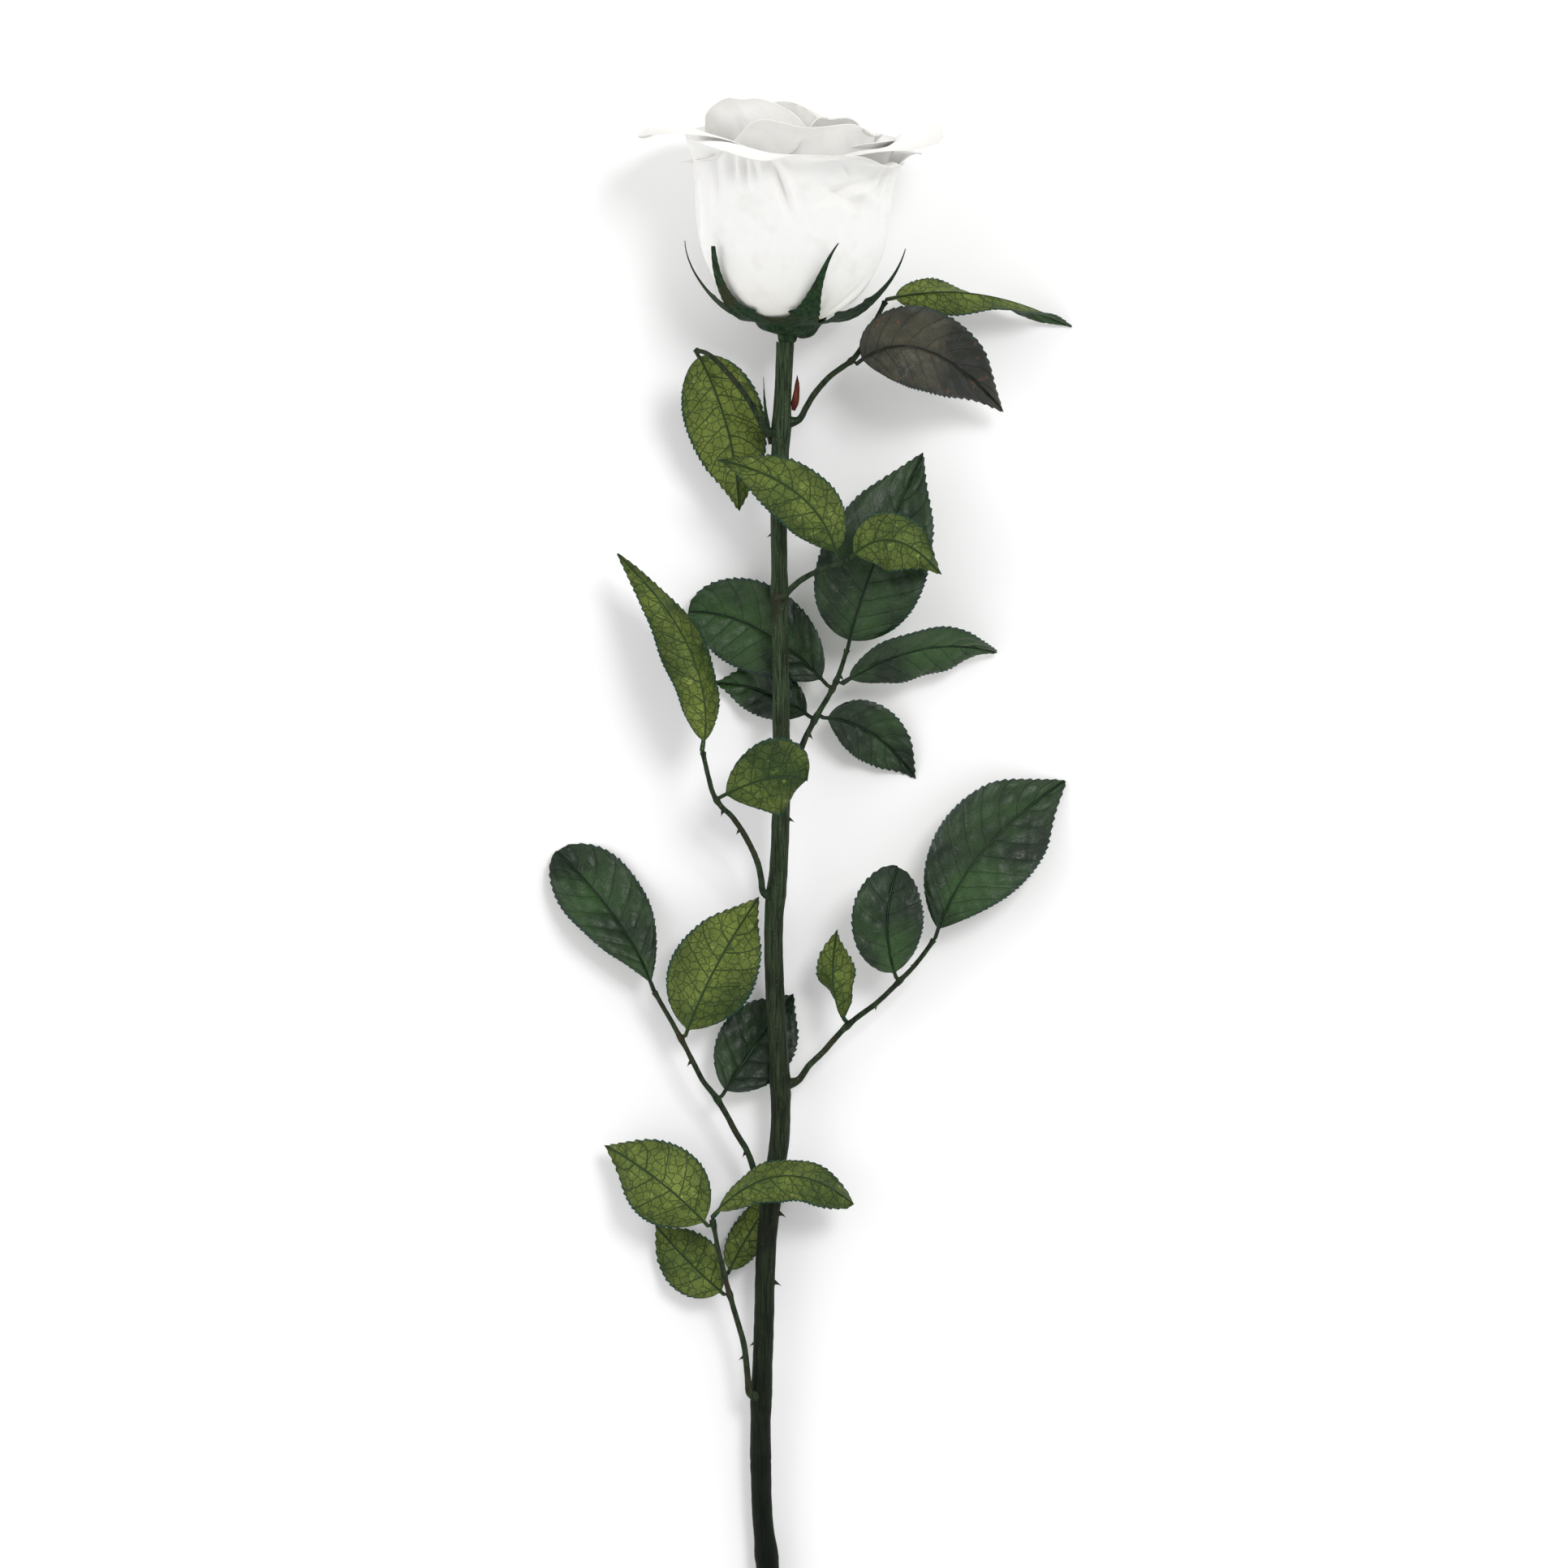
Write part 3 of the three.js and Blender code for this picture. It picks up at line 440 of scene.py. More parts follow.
# pinched folds of the front petal: place across, from and to share of the height, depth and width, slant
folds = [(-0.8, 0.6, 0.9, 0.9, 0.045, 0.25), (-0.6, 0.7, 0.92, 1.0, 0.035, 0.3), (-0.48, 0.68, 0.91, 1.1, 0.03, 0.15),
         (-0.37, 0.7, 0.92, 1.0, 0.03, -0.15), (-0.05, 0.58, 0.92, 1.7, 0.035, -0.7), (0.1, 0.65, 0.81, 1.3, 0.1, 3.2),
         (0.6, 0.63, 0.78, 1.2, 0.1, -3.0), (0.42, 0.78, 0.93, 0.8, 0.03, -0.9), (0.7, 0.6, 0.93, 1.0, 0.035, 0.3),
         (0.86, 0.5, 0.9, 0.8, 0.04, 0), (0.72, 0.12, 0.42, 0.6, 0.05, 0.4), (0.5, 0.14, 0.36, 0.5, 0.05, -0.4)]


def lowerRight(radius, azimuth):  # the middle of the bloom stands lower on its right, behind the outer petals
    return bloom["rightDrop"] * smooth(-2, 15, radius * np.sin(azimuth))


def petalGrid(order):
    own = petalLips.get(order, plainLip)
    rows, columns = (150, 170) if order == 0 else (72, 96)  # the front petal carries the folds
    depth = order * bloom["step"]
    centre = math.radians(bloom["first"] + order * bloom["turn"])
    halfAngle = math.radians(66 + 1.1 * order)
    across = np.linspace(-1, 1, columns + 1)[None, :]
    level = np.linspace(0, 1, rows + 1)[:, None]
    rimLine = (1 - 0.13 * np.abs(across) ** 2.6 + 0.02 * np.exp(-((across - 0.1) / 0.14) ** 2)
               + 0.012 * np.sin(5 * across + order))
    share = level * rimLine
    spread = halfAngle * own.get("wide", 1) * (0.55 + 0.45 * smooth(0, 0.5, share)) * (1 - 0.1 * smooth(0.8, 1, share))
    azimuth = centre + across * spread
    radius, height = shell(depth, share, azimuth)
    drop = lowerRight(radius, azimuth) * smooth(7.8, 10, depth)
    height = height + (easeTable(own["rise"], across) - drop) * smooth(0.62, 1, share) ** 1.5
    # walk up the petal again with the lip rolled back
    stepR, stepH = np.diff(radius, axis=0), np.diff(height, axis=0)
    middle = (share[1:] + share[:-1]) / 2
    length = np.hypot(stepR, stepH) * (1 + own["long"] * smooth(own["start"], 0.95, middle) * (1 - across ** 2))
    aim = np.arctan2(stepR, stepH)
    aim = aim + np.radians(easeTable(own["roll"], across)) * smooth(own["start"], 1.0, middle)
    radius = np.concatenate([radius[:1], radius[:1] + np.cumsum(np.sin(aim) * length, axis=0)])
    height = np.concatenate([height[:1], height[:1] + np.cumsum(np.cos(aim) * length, axis=0)])
    # slow waves shared by neighbours so that they stay nested, and stronger ones at the rim
    rimWave = 0.7 if order < 5 else 0.4
    outward = (0.3 * ripple(azimuth * 2.2, share * 5, 1.0) * smooth(0.2, 0.6, share)
               + rimWave * ripple(azimuth * 3.4, share * 4 + depth * 0.12, 2.6) * smooth(0.72, 1, share))
    outward = outward + 0.14 * ripple(azimuth * 9, share * 16, 5.1 + order) * smooth(0.1, 0.3, share)  # crumples
    if order < 6:
        outward = outward + 0.4 * np.abs(across) ** 10 * smooth(0.3, 0.7, share)  # free side edges stand off
    if order == 0:
        for where, start, end, deep, wide, slant in folds:
            along = np.clip((share - start) / (end - start), 0, 1)
            line = (across - where - slant * (share - start)) / wide
            pinch = np.exp(-line ** 2) - 0.5 * np.exp(-(line - 2.2) ** 2)  # a crease with a ridge beside it
            outward = outward - bloom["crease"] * deep * pinch * np.sin(np.pi * along) ** 2
    upDown = 0.8 * ripple(azimuth * 2.7, share, 4.2 + order) * smooth(0.8, 1, share)
    return radius + outward, height + upDown, azimuth, share, across


def petalSheet(radius, height, azimuth, thickness):
    outer = onBloom(radius, height, azimuth)
    alongUp = np.gradient(outer, axis=0)
    alongAcross = np.gradient(outer, axis=1)
    outwards = unit(np.cross(alongAcross, alongUp))
    return sheet(outer, outer - outwards * thickness[..., None])[:2]


def petalUv(across, share):  # the same places on both faces
    uv = np.stack([np.broadcast_to(across * 0.5 + 0.5, share.shape), share], -1).reshape(-1, 2)
    return np.concatenate([uv, uv])


def makePetal(order):
    radius, height, azimuth, share, across = petalGrid(order)
    thickness = bloom["thickness"] * (1 - 0.45 * smooth(0.8, 1, share)) * (1 - 0.35 * np.abs(across) ** 6)
    points, faces = petalSheet(radius, height, azimuth, thickness)
    petal = newObject(f"petal_{order + 1:02d}_white", toRow(points), faces, [whitePetal],
                      uvs={"petal": petalUv(across, share)}, sharp=60)
    ready(petal, f"petal_{order + 1:02d}", "petal")


for order in range(bloom["petals"]):
    makePetal(order)
print("petals made")

# the rolled middle: each petal wraps most of the way round the next
heart = dict(petals=8, step=0.82, turn=150.0, halfAngle=104.0, closing=0.34, width=7.6, narrowest=0.9, thickness=0.28,
             rows=40, columns=44)


def makeHeart():
    allPoints, allFaces, allUv = [], [], []
    count = 0
    for order in range(heart["petals"]):
        depth = bloom["petals"] * bloom["step"] + order * heart["step"]
        across = np.linspace(-1, 1, heart["columns"] + 1)[None, :]
        level = np.linspace(0.28, 1, heart["rows"] + 1)[:, None]
        share = level * (1 - 0.1 * np.abs(across) ** 2.4) - 0.012 * order
        azimuth = math.radians(order * heart["turn"]) + across * math.radians(heart["halfAngle"])
        height = shell(depth, share, azimuth)[1]
        width = max(heart["narrowest"], heart["width"] - order * heart["step"])
        body = width * (0.45 + 0.55 * smooth(0.28, 0.6, share)) * (1 - heart["closing"] * smooth(0.7, 1, share))
        radius = body * (1 - 0.1 * across) + 0.25 * ripple(azimuth * 2, share * 4, order) * smooth(0.6, 1, share)
        height = height - 0.3 * order + 0.7 * ripple(azimuth * 1.5, share, order) * smooth(0.8, 1, share)
        height = height - lowerRight(radius, azimuth) * smooth(0.62, 1, share)
        points, faces = petalSheet(radius, height, azimuth, np.full(share.shape, heart["thickness"]))
        allPoints.append(points)
        allFaces.append(faces + count)
        allUv.append(petalUv(across, share))
        count += len(points)
    middle = newObject("petal_heart_rolled", toRow(np.concatenate(allPoints)), np.concatenate(allFaces),
                       [whitePetal], uvs={"petal": np.concatenate(allUv)}, sharp=60)
    ready(middle, "petal_heart", "petal_heart")


makeHeart()
print("heart made")


# ---- calyx

# the receptacle's outline as radius and height, up to the end of its core inside the petals
calyxCup = dict(sides=56, bulge=1.7,
                profile=[(0.01, -4.2), (2.2, -4.2), (2.3, -3.0), (2.5, -2.0), (3.2, -1.35), (4.6, -1.0), (6.0, -0.6),
                         (6.8, -0.1), (7.0, 0.4), (6.6, 0.8), (5.6, 1.05), (3.4, 1.1), (2.5, 1.4), (2.4, 6),
                         (2.4, 18.5), (0.01, 19.2)])


def makeReceptacle():
    sides, profile = calyxCup["sides"], calyxCup["profile"]
    around = np.arange(sides) * 2 * np.pi / sides
    bump = (1 + 0.04 * np.sin(5 * around + 0.6) + 0.03 * np.sin(3 * around + 2)
            + 0.10 * np.exp(-((around - 1.4) / 0.5) ** 2))
    knob = np.exp(-((around - 1.2) / 0.6) ** 2)  # one side bulges down beside the cane
    rings = []
    for radius, height in profile:
        below = calyxCup["bulge"] * knob if 2.9 < radius < 6.5 and height < -0.3 else 0
        rings.append(onBloom(radius * (bump if 2.4 < radius and height < 1.1 else 1), height - below, around))
    points = np.concatenate(rings)
    r, s = np.meshgrid(np.arange(len(profile) - 1), np.arange(sides), indexing="ij")
    here, after = (r * sides + s).ravel(), (r * sides + (s + 1) % sides).ravel()
    faces = np.stack([here, after, after + sides, here + sides], 1)
    piece = newObject("receptacle_green", toRow(points), faces, [sepalSkin])
    mesh = piece.data
    made = bmesh.new()
    made.from_mesh(mesh)
    bmesh.ops.holes_fill(made, edges=made.edges, sides=sides)
    bmesh.ops.recalc_face_normals(made, faces=made.faces)
    made.to_mesh(mesh)
    made.free()
    finish = piece.modifiers.new("rounding", "SUBSURF")
    finish.levels = finish.render_levels = 1
    ready(piece, "receptacle", "sepal")


makeReceptacle()

# a sepal's half width from its foot to its tip, and the way its foot climbs the receptacle
sepals = dict(length=27.0, thickness=0.5, rows=96, columns=20,
              halfWidth=[(0, 3.4), (0.05, 5.6), (0.1, 6.6), (0.18, 6.0), (0.3, 4.3), (0.5, 2.6), (0.7, 1.2),
                         (0.85, 0.55), (1, 0.1)],
              foot=[(0, 4.0), (0.05, 6.2), (0.1, 7.9)], footHeight=[(0, -1.5), (0.05, -1.0), (0.1, 0.1)])
# a lobe is a small tongue on one side: place along, side, millimetres it stands out
sepalShapes = [
    dict(azimuth=-106, length=0.96, standOff=3.0, lobes=[(0.3, 1, 1.8), (0.52, 1, 0.9)], tip=0.02, curl=-0.1, skew=0,
         turned=-1.6),
    dict(azimuth=-46, length=0.97, standOff=1.0, lobes=[(0.22, 1, 5.0), (0.42, 1, 1.8)], tip=0.5, curl=0, skew=0.6,
         turned=-0.5),
    dict(azimuth=16.5, length=1.05, standOff=2.4, lobes=[(0.27, -1, 4.0), (0.42, -1, 1.2)], tip=0.05, curl=0.12,
         skew=-0.9, turned=0.4),
    dict(azimuth=88, length=0.97, standOff=3.4, lobes=[(0.32, -1, 1.8), (0.55, -1, 0.9)], tip=0.02, curl=0.1, skew=0,
         turned=1.6),
    dict(azimuth=150, length=0.8, standOff=0.4, lobes=[(0.3, 1, 1.4)], tip=0.3, curl=0, skew=0, turned=0),
]


def makeSepal(index, shape):
    along = np.linspace(0, 1, sepals["rows"] + 1)[:, None]
    across = np.linspace(-1, 1, sepals["columns"] + 1)[None, :]
    reach = sepals["length"] * shape["length"] / 61  # the petal face is 61 mm from foot to rim
    share = 0.085 + reach * np.maximum(along - 0.1, 0) / 0.9
    width = easeTable(sepals["halfWidth"], along) + shape["tip"] * smooth(0.5, 0.9, along)
    for where, side, size in shape["lobes"]:
        lobe = size * np.exp(-((along - where) / 0.03) ** 2)
        width = width + lobe * smooth(0.2, 1.0, across * side)
    width = width * (1 + 0.04 * np.sin(along * 90 + index) * np.abs(across) ** 4)
    off = (0.9 + shape["standOff"] * smooth(0.1, 1.1, along) ** 1.5
           + 0.5 * np.abs(across) ** 2 * (1 - along) * smooth(0.1, 0.3, along))
    azimuth = math.radians(shape["azimuth"]) + shape["curl"] * along ** 8 + 0.02 * np.sin(6 * along + index)
    off = off + shape["turned"] * across * smooth(0.12, 0.4, along) * width / 4
    onShellRadius, onShellHeight = shell(-off, share, azimuth)
    onFoot = 1 - smooth(0.07, 0.13, along)
    radius = onShellRadius * (1 - onFoot) + easeTable(sepals["foot"], along) * onFoot
    height = onShellHeight * (1 - onFoot) + easeTable(sepals["footHeight"], along) * onFoot
    sideways = shape["skew"] * (1 - smooth(0.1, 0.5, along))
    azimuth = azimuth + (across * width + sideways) / np.maximum(radius, 5.0)
    outer = onBloom(radius, height, azimuth)
    outwards = unit(np.cross(np.gradient(outer, axis=1), np.gradient(outer, axis=0)))
    thick = sepals["thickness"] * (1 - 0.6 * along) * (1 - 0.6 * np.abs(across) ** 3)
    ridge = 0.3 * np.exp(-(across / 0.18) ** 2) * (1 - along)
    points, faces = sheet(outer + outwards * ridge[..., None], outer - outwards * thick[..., None])[:2]
    piece = newObject(f"sepal_{index + 1}_green", toRow(points), faces, [sepalSkin], sharp=60)
    ready(piece, f"sepal_{index + 1}", "sepal")


for index, shape in enumerate(sepalShapes):
    makeSepal(index, shape)
print("calyx made")


# ---- cane

cane = dict(length=343.0, diameter=5.0, cutHeight=3.1, cutSlant=35.0, sides=40, rings=420, lumps=(0.00035, 260.0),
            scar=0.09)  # lumps: metres high and how many to a metre; scar: millimetres the ring at a joint is sunk
# along the cane: millimetres it wanders sideways, its radius against the cane's, and how much each joint swells
wander = [(0, 0.6), (0.03, 0.2), (0.07, -0.4), (0.1, -0.9), (0.19, -0.9), (0.28, -0.5), (0.35, -0.6), (0.39, -1.2),
          (0.42, -2.2), (0.48, -2), (0.53, -0.9), (0.58, -0.8), (0.61, -2.2), (0.65, -3.9), (0.72, -4.8), (0.8, -5.6),
          (0.86, -5), (0.9, -3.6), (0.95, -2.6), (1, -2.2)]
taper = [(0, 0.9), (0.03, 0.84), (0.1, 0.86), (0.16, 0.79), (0.27, 0.85), (0.42, 0.92), (0.6, 0.97), (0.8, 1),
         (1, 1.04)]
joints = [(0.072, 0.14), (0.194, 0.12), (0.321, 0.1), (0.407, 0.1), (0.543, 0.1), (0.624, 0.08), (0.768, 0.12),
          (0.812, 0.06), (0.886, 0.17)]


def caneCentre(share, read=lineTable):
    share = np.asarray(share, float)
    height = axisHeight - 0.3 + (cane["cutHeight"] - axisHeight + 0.3) * share
    return np.stack([read(wander, share), -share * cane["length"], height], -1)


def caneRadius(share):
    swelling = sum(swell * np.exp(-((share - place) / 0.011) ** 2) for place, swell in joints)
    return cane["diameter"] / 2 * (lineTable(taper, share) + swelling)


def aroundCane(degrees):
    return np.array([math.cos(math.radians(degrees)), 0, math.sin(math.radians(degrees))])


def besideCane(share, degrees, clear):  # a point that far clear of the bark
    return caneCentre(share) + aroundCane(degrees) * (float(caneRadius(share)) + clear)


def sweepTree():  # a round skin along a line whose points carry their own radius
    tree, identifiers = newGroup("sweep along line", [("Line", "Geometry"), ("Sides", "Int"), ("Lump Height", "Float"),
                                                      ("Lumps Per Metre", "Float"), ("Skin", "Material")])
    given = put(tree, "NodeGroupInput")
    ring = put(tree, "GeometryNodeCurvePrimitiveCircle", {"Radius": 1.0, "Resolution": given.outputs["Sides"]})
    tube = put(tree, "GeometryNodeCurveToMesh", {"Curve": given.outputs["Line"], "Profile Curve": ring,
                                                 "Scale": put(tree, "GeometryNodeInputRadius"), "Fill Caps": True})
    uneven = put(tree, "TexNoise", {"Scale": given.outputs["Lumps Per Metre"], "Detail": 2.0})
    centred = put(tree, "Math", [uneven, 0.5], operation="SUBTRACT")
    amount = put(tree, "Math", [centred, given.outputs["Lump Height"]], operation="MULTIPLY")
    push = put(tree, "VectorMath", {0: put(tree, "GeometryNodeInputNormal"), "Scale": amount},
               operation="SCALE")
    closeGroup(tree, given, put(tree, "GeometryNodeSetPosition", {"Geometry": tube, "Offset": push}))
    return tree, identifiers


sweep, sweepInputs = sweepTree()


def sweepLine(name, points, radii, skin, sides, lumps, pitch):  # radii in millimetres
    curve = bpy.data.curves.new(name + "_line", "CURVE")
    curve.dimensions = "3D"
    line = curve.splines.new("POLY")
    line.points.add(len(points) - 1)
    line.points.foreach_set("co", np.concatenate([toRow(points), np.ones((len(points), 1))], 1).ravel())
    line.points.foreach_set("radius", radii * 0.001)
    return growMesh(addObject(name + "_line", curve), name, sweep, sweepInputs, {
        "Sides": sides, "Lump Height": lumps, "Lumps Per Metre": pitch, "Skin": skin})


def makeCane():
    top = 3.9 / cane["length"]
    share = np.linspace(top, 1, cane["rings"])
    points = caneCentre(share, easeTable)
    radii = caneRadius(share)
    # ring scars at the joints
    for place, _ in joints:
        radii = radii - cane["scar"] * np.exp(-((share - place - 0.004) / 0.0012) ** 2)
    piece = sweepLine("cane_bark", points, radii, caneBark, cane["sides"], *cane["lumps"])
    mesh, end = piece.data, toRow(points)[-1]
    slope = math.tan(math.radians(cane["cutSlant"]))
    for vertex in mesh.vertices:
        if vertex.co.y < end[1] + 0.0006:
            vertex.co.y -= (vertex.co.z - end[2]) * slope
    mesh.materials.append(cutWood)
    for face in mesh.polygons:
        if len(face.vertices) > 8 and face.center.y < end[1] + 0.001:
            face.material_index = 1
    ready(piece, "cane", "cane")


makeCane()
print("cane made")


# ---- leaves

# joint is the share of the cane, round the degrees about it, stalk its bends from there; at is a leaflet's place on
# the stalk, bend and tip its middle and end from its foot, half its half width, pale one that shows its underside
leaves = [
    dict(name="leaf_a", joint=0.0685, round=0, prickles=[],
         stalk=[(1.6, 2.5, 0.5), (4, 6.5, 2), (8.6, 11.5, 4), (13.6, 15, 5.2), (16.6, 19.5, 4.4), (19.6, 25.5, 3.8),
                (21.6, 29.3, 3.6)],
         leaflets=[dict(at=0.56, bend=(16.6, 3, 4), tip=(36.4, -10.6, -15), half=10, bronzed=True),
                   dict(at=1, bend=(23, 1.6, 0), tip=(46.4, -5, 0), half=6.2, roll=-50, twist=-130, pale=True,
                        rests=True)]),
    dict(name="leaf_b", joint=0.076, round=160, prickles=[(0.4, 60)],
         stalk=[(-5, 8.7, 3.8), (-11, 15.7, 7.8), (-14.2, 18.6, 8.4), (-17, 19.6, 5.8)],
         leaflets=[dict(at=1, bend=(7.6, -18, -8), tip=(10.6, -38.5, -12), half=9.8, pale=True)]),
    dict(name="leaf_c", joint=0.194, round=80, prickles=[(0.5, 280)],
         stalk=[(4.2, 3.9, 2.5), (9.2, 6.5, 5.5), (14.2, 8.1, 8.3), (16.2, 9.1, 9)],
         leaflets=[dict(at=0.88, bend=(-9.4, 15.2, 2), tip=(-29, 24, -2), half=7.8, roll=10, pale=True),
                   dict(at=1, bend=(10.4, 4, 2), tip=(22, -3.8, -4), half=7.6, roll=-10, pale=True)]),
    dict(name="leaf_d", joint=0.321, round=10, prickles=[(0.32, 0), (0.8, 330)],
         stalk=[(1.4, 7, -1.2), (4.2, 13, -2.2), (9.8, 23, -3), (12.6, 31, -2.2)],
         leaflets=[dict(at=1, bend=(6.6, 21, 4), tip=(18.6, 48, -2), half=13.4),
                   dict(at=0.76, bend=(20, 8.4, 1), tip=(38.6, 7.8, -9), half=7.6, roll=42),
                   dict(at=0.7, bend=(-17, 14, -5), tip=(-34.4, 18.4, -7), half=11, end=0.6, point=0),
                   dict(at=0.44, bend=(-11, 6.2, -6.5), tip=(-23.4, 8.4, -8.5), half=6.2),
                   dict(at=0.48, bend=(12.4, -4, -3), tip=(23, -15, 0), half=7.2, rests=True)]),
    dict(name="leaf_e", joint=0.407, round=140, prickles=[(0.45, 200), (0.62, 180)],
         stalk=[(-1.7, 8.6, 2.3), (-7.1, 18.6, 6.3), (-11.7, 23.6, 8.3), (-14.1, 31.6, 7.3), (-14.9, 35.1, 6.6)],
         leaflets=[dict(at=1, bend=(-3.2, 24.2, -1), tip=(-21, 48, -6), half=7.6, roll=42, pale=True),
                   dict(at=0.7, bend=(12, 4.6, 2), tip=(20.4, 4, -3), half=9.6, pale=True, end=0.4, point=0)]),
    dict(name="leaf_f", joint=0.543, round=0, prickles=[(0.24, 300), (0.56, 320), (0.84, 120)],
         stalk=[(2, 3.2, 0.2), (6, 7.2, 0.7), (13, 14.8, 1.7), (20, 20.2, 2.3), (25.6, 25.6, 2.5), (30, 30.2, 2.5),
                (34, 35.7, 2.3)],
         leaflets=[dict(at=1, bend=(11.6, 20.8, 1), tip=(32.6, 38.6, 0), half=12.6, foot=0.85, end=0.8, rests=True),
                   dict(at=0.735, bend=(-2.2, 13.2, 4.5), tip=(0.4, 27, 1), half=8.8, end=0.6, point=0),
                   dict(at=0.4, bend=(-2.6, 10, 3), tip=(-1.8, 22, 0), half=5.6, roll=-50, twist=110, pale=True)]),
    dict(name="leaf_g", joint=0.624, round=180, prickles=[(0.2, 160), (0.66, 170)],
         stalk=[(-1, 8.6, 0.3), (-5, 16, 0.9), (-9.4, 24, 1.5), (-12, 27, 1.7), (-18.4, 39, 2.1), (-25, 50.6, 1.5)],
         leaflets=[dict(at=1, bend=(-9, 16.8, -1.5), tip=(-24.2, 34, 0), half=10, roll=18, foot=1.0, end=0.55, point=0,
                        rests=True),
                   dict(at=0.77, bend=(7.4, 16.8, 5.5), tip=(18, 34, -2), half=10.8, pale=True),
                   dict(at=0.46, bend=(8.8, 13, -6), tip=(17.6, 24.6, -7), half=9.6)]),
    dict(name="leaf_h", joint=0.768, round=135, prickles=[(0.22, 190)],
         stalk=[(-0.8, 7, 0.2), (-1.4, 12.4, 0.2), (-3.6, 20.4, 0.6), (-5.6, 27.4, 1.2), (-7.6, 35.4, 1.8),
                (-9.2, 43.9, 2.4)],
         leaflets=[dict(at=0.97, bend=(-11.6, 11, 2.5), tip=(-25.2, 19.4, -6), half=10, pale=True),
                   dict(at=0.58, bend=(-9, 8, -3), tip=(-17, 16.4, -7), half=7.4, pale=True),
                   dict(at=1, bend=(17, 10.4, 6), tip=(34.6, 3.4, 2), half=6.4, roll=-40, pale=True, end=0.5, point=0),
                   dict(at=0.69, bend=(5.4, 9.6, -7), tip=(12.8, 20.4, -8), half=4.4, pale=True)]),
]
leafSizes = dict(cadThickness=0.6, thickness=0.36, stalk=1.05, stalkTip=0.7, gap=0.3, neck=0.05, neckRows=7,
                 slim=0.78, toothSpacing=1.6, toothDepth=0.42, veinSpacing=5.4, rib=0.36, groove=0.16, wave=0.5,
                 curl=0.045, stalkSides=20, stalkLumps=(0.00022, 500.0))
# a waxed face and a pale one: degrees the halves fold up, millimetres the blade puffs between veins and swells
waxedShape, paleShape = dict(fold=20, puff=0.3, swell=0.24), dict(fold=24, puff=0.26, swell=0.16)


def roundedLine(points, count):  # a smooth line through the points, evenly stepped
    points = np.asarray(points, float)
    padded = np.concatenate([[2 * points[0] - points[1]], points, [2 * points[-1] - points[-2]]])
    made = []
    for i in range(len(points) - 1):
        p0, p1, p2, p3 = padded[i:i + 4]
        d0, d1, d2 = [max(np.dot(b - a, b - a) ** 0.25, 1e-4) for a, b in ((p0, p1), (p1, p2), (p2, p3))]
        t1 = ((p1 - p0) / d0 - (p2 - p0) / (d0 + d1) + (p2 - p1) / d1) * d1
        t2 = ((p2 - p1) / d1 - (p3 - p1) / (d1 + d2) + (p3 - p2) / d2) * d1
        u = np.linspace(0, 1, 60, endpoint=(i == len(points) - 2))[:, None]
        made.append(p1 + t1 * u + (-3 * p1 + 3 * p2 - 2 * t1 - t2) * u ** 2 + (2 * p1 - 2 * p2 + t1 + t2) * u ** 3)
    made = np.concatenate(made)
    way = np.concatenate([[0], np.cumsum(np.linalg.norm(np.diff(made, axis=0), axis=1))])
    even = np.linspace(0, way[-1], count)
    return np.stack([np.interp(even, way, made[:, k]) for k in range(3)], 1)


def stalkLine(leaf, count=201):
    start = besideCane(leaf["joint"], leaf["round"], leafSizes["stalk"] + leafSizes["gap"])
    return roundedLine([start] + [start + np.array(offset) for offset in leaf["stalk"]], count)


def stalkAt(leaf, share):
    line = stalkLine(leaf)
    last = len(line) - 2
    i = min(int(share * (last + 1)), last)
    u = share * (last + 1) - i
    return line[i] * (1 - u) + line[i + 1] * u, unit(line[i + 1] - line[i])


def stalkRadius(share):
    return leafSizes["stalk"] + (leafSizes["stalkTip"] - leafSizes["stalk"]) * share


def makeStalk(leaf):
    line = stalkLine(leaf, 90)
    root = caneCentre(leaf["joint"]) * 0.55 + line[0] * 0.45  # grows out of the cane's side
    line = roundedLine([root, *line[2::8], line[-1]], 110)
    share = np.linspace(0, 1, len(line))
    radii = leafSizes["slim"] * stalkRadius(share)
    radii = radii * (1 + 0.8 * np.exp(-(share / 0.045) ** 2))  # the stalk's swollen foot
    for shape in leaf["leaflets"]:
        radii = radii + 0.24 * np.exp(-((share - 0.02 - 0.98 * shape["at"]) / 0.02) ** 2)  # knuckle under a leaflet
    piece = sweepLine(leaf["name"] + "_stalk_skin", line, radii, stalkSkin, leafSizes["stalkSides"],
                      *leafSizes["stalkLumps"])
    ready(piece, leaf["name"] + "_stalk", "leaf_stalk")


def bladeWidth(share, shape):
    along = np.clip((share - leafSizes["neck"]) / (1 - leafSizes["neck"]), 0, 1)
    foot, end = shape.get("foot", 0.62), shape.get("end", 0.85)
    widest = foot / (foot + end)
    full = widest ** foot * (1 - widest) ** end
    return along ** foot * (1 - along) ** end / full * (1 - shape.get("point", 0.35) * smooth(0.7, 1, along))


# columns from the middle rib to the edge, closer together at both
halfSteps = np.array([0, 0.025, 0.06, 0.11, 0.17, 0.24, 0.31, 0.38, 0.45, 0.52, 0.59, 0.66, 0.73, 0.79, 0.85, 0.9, 0.94,
                      0.975, 1])


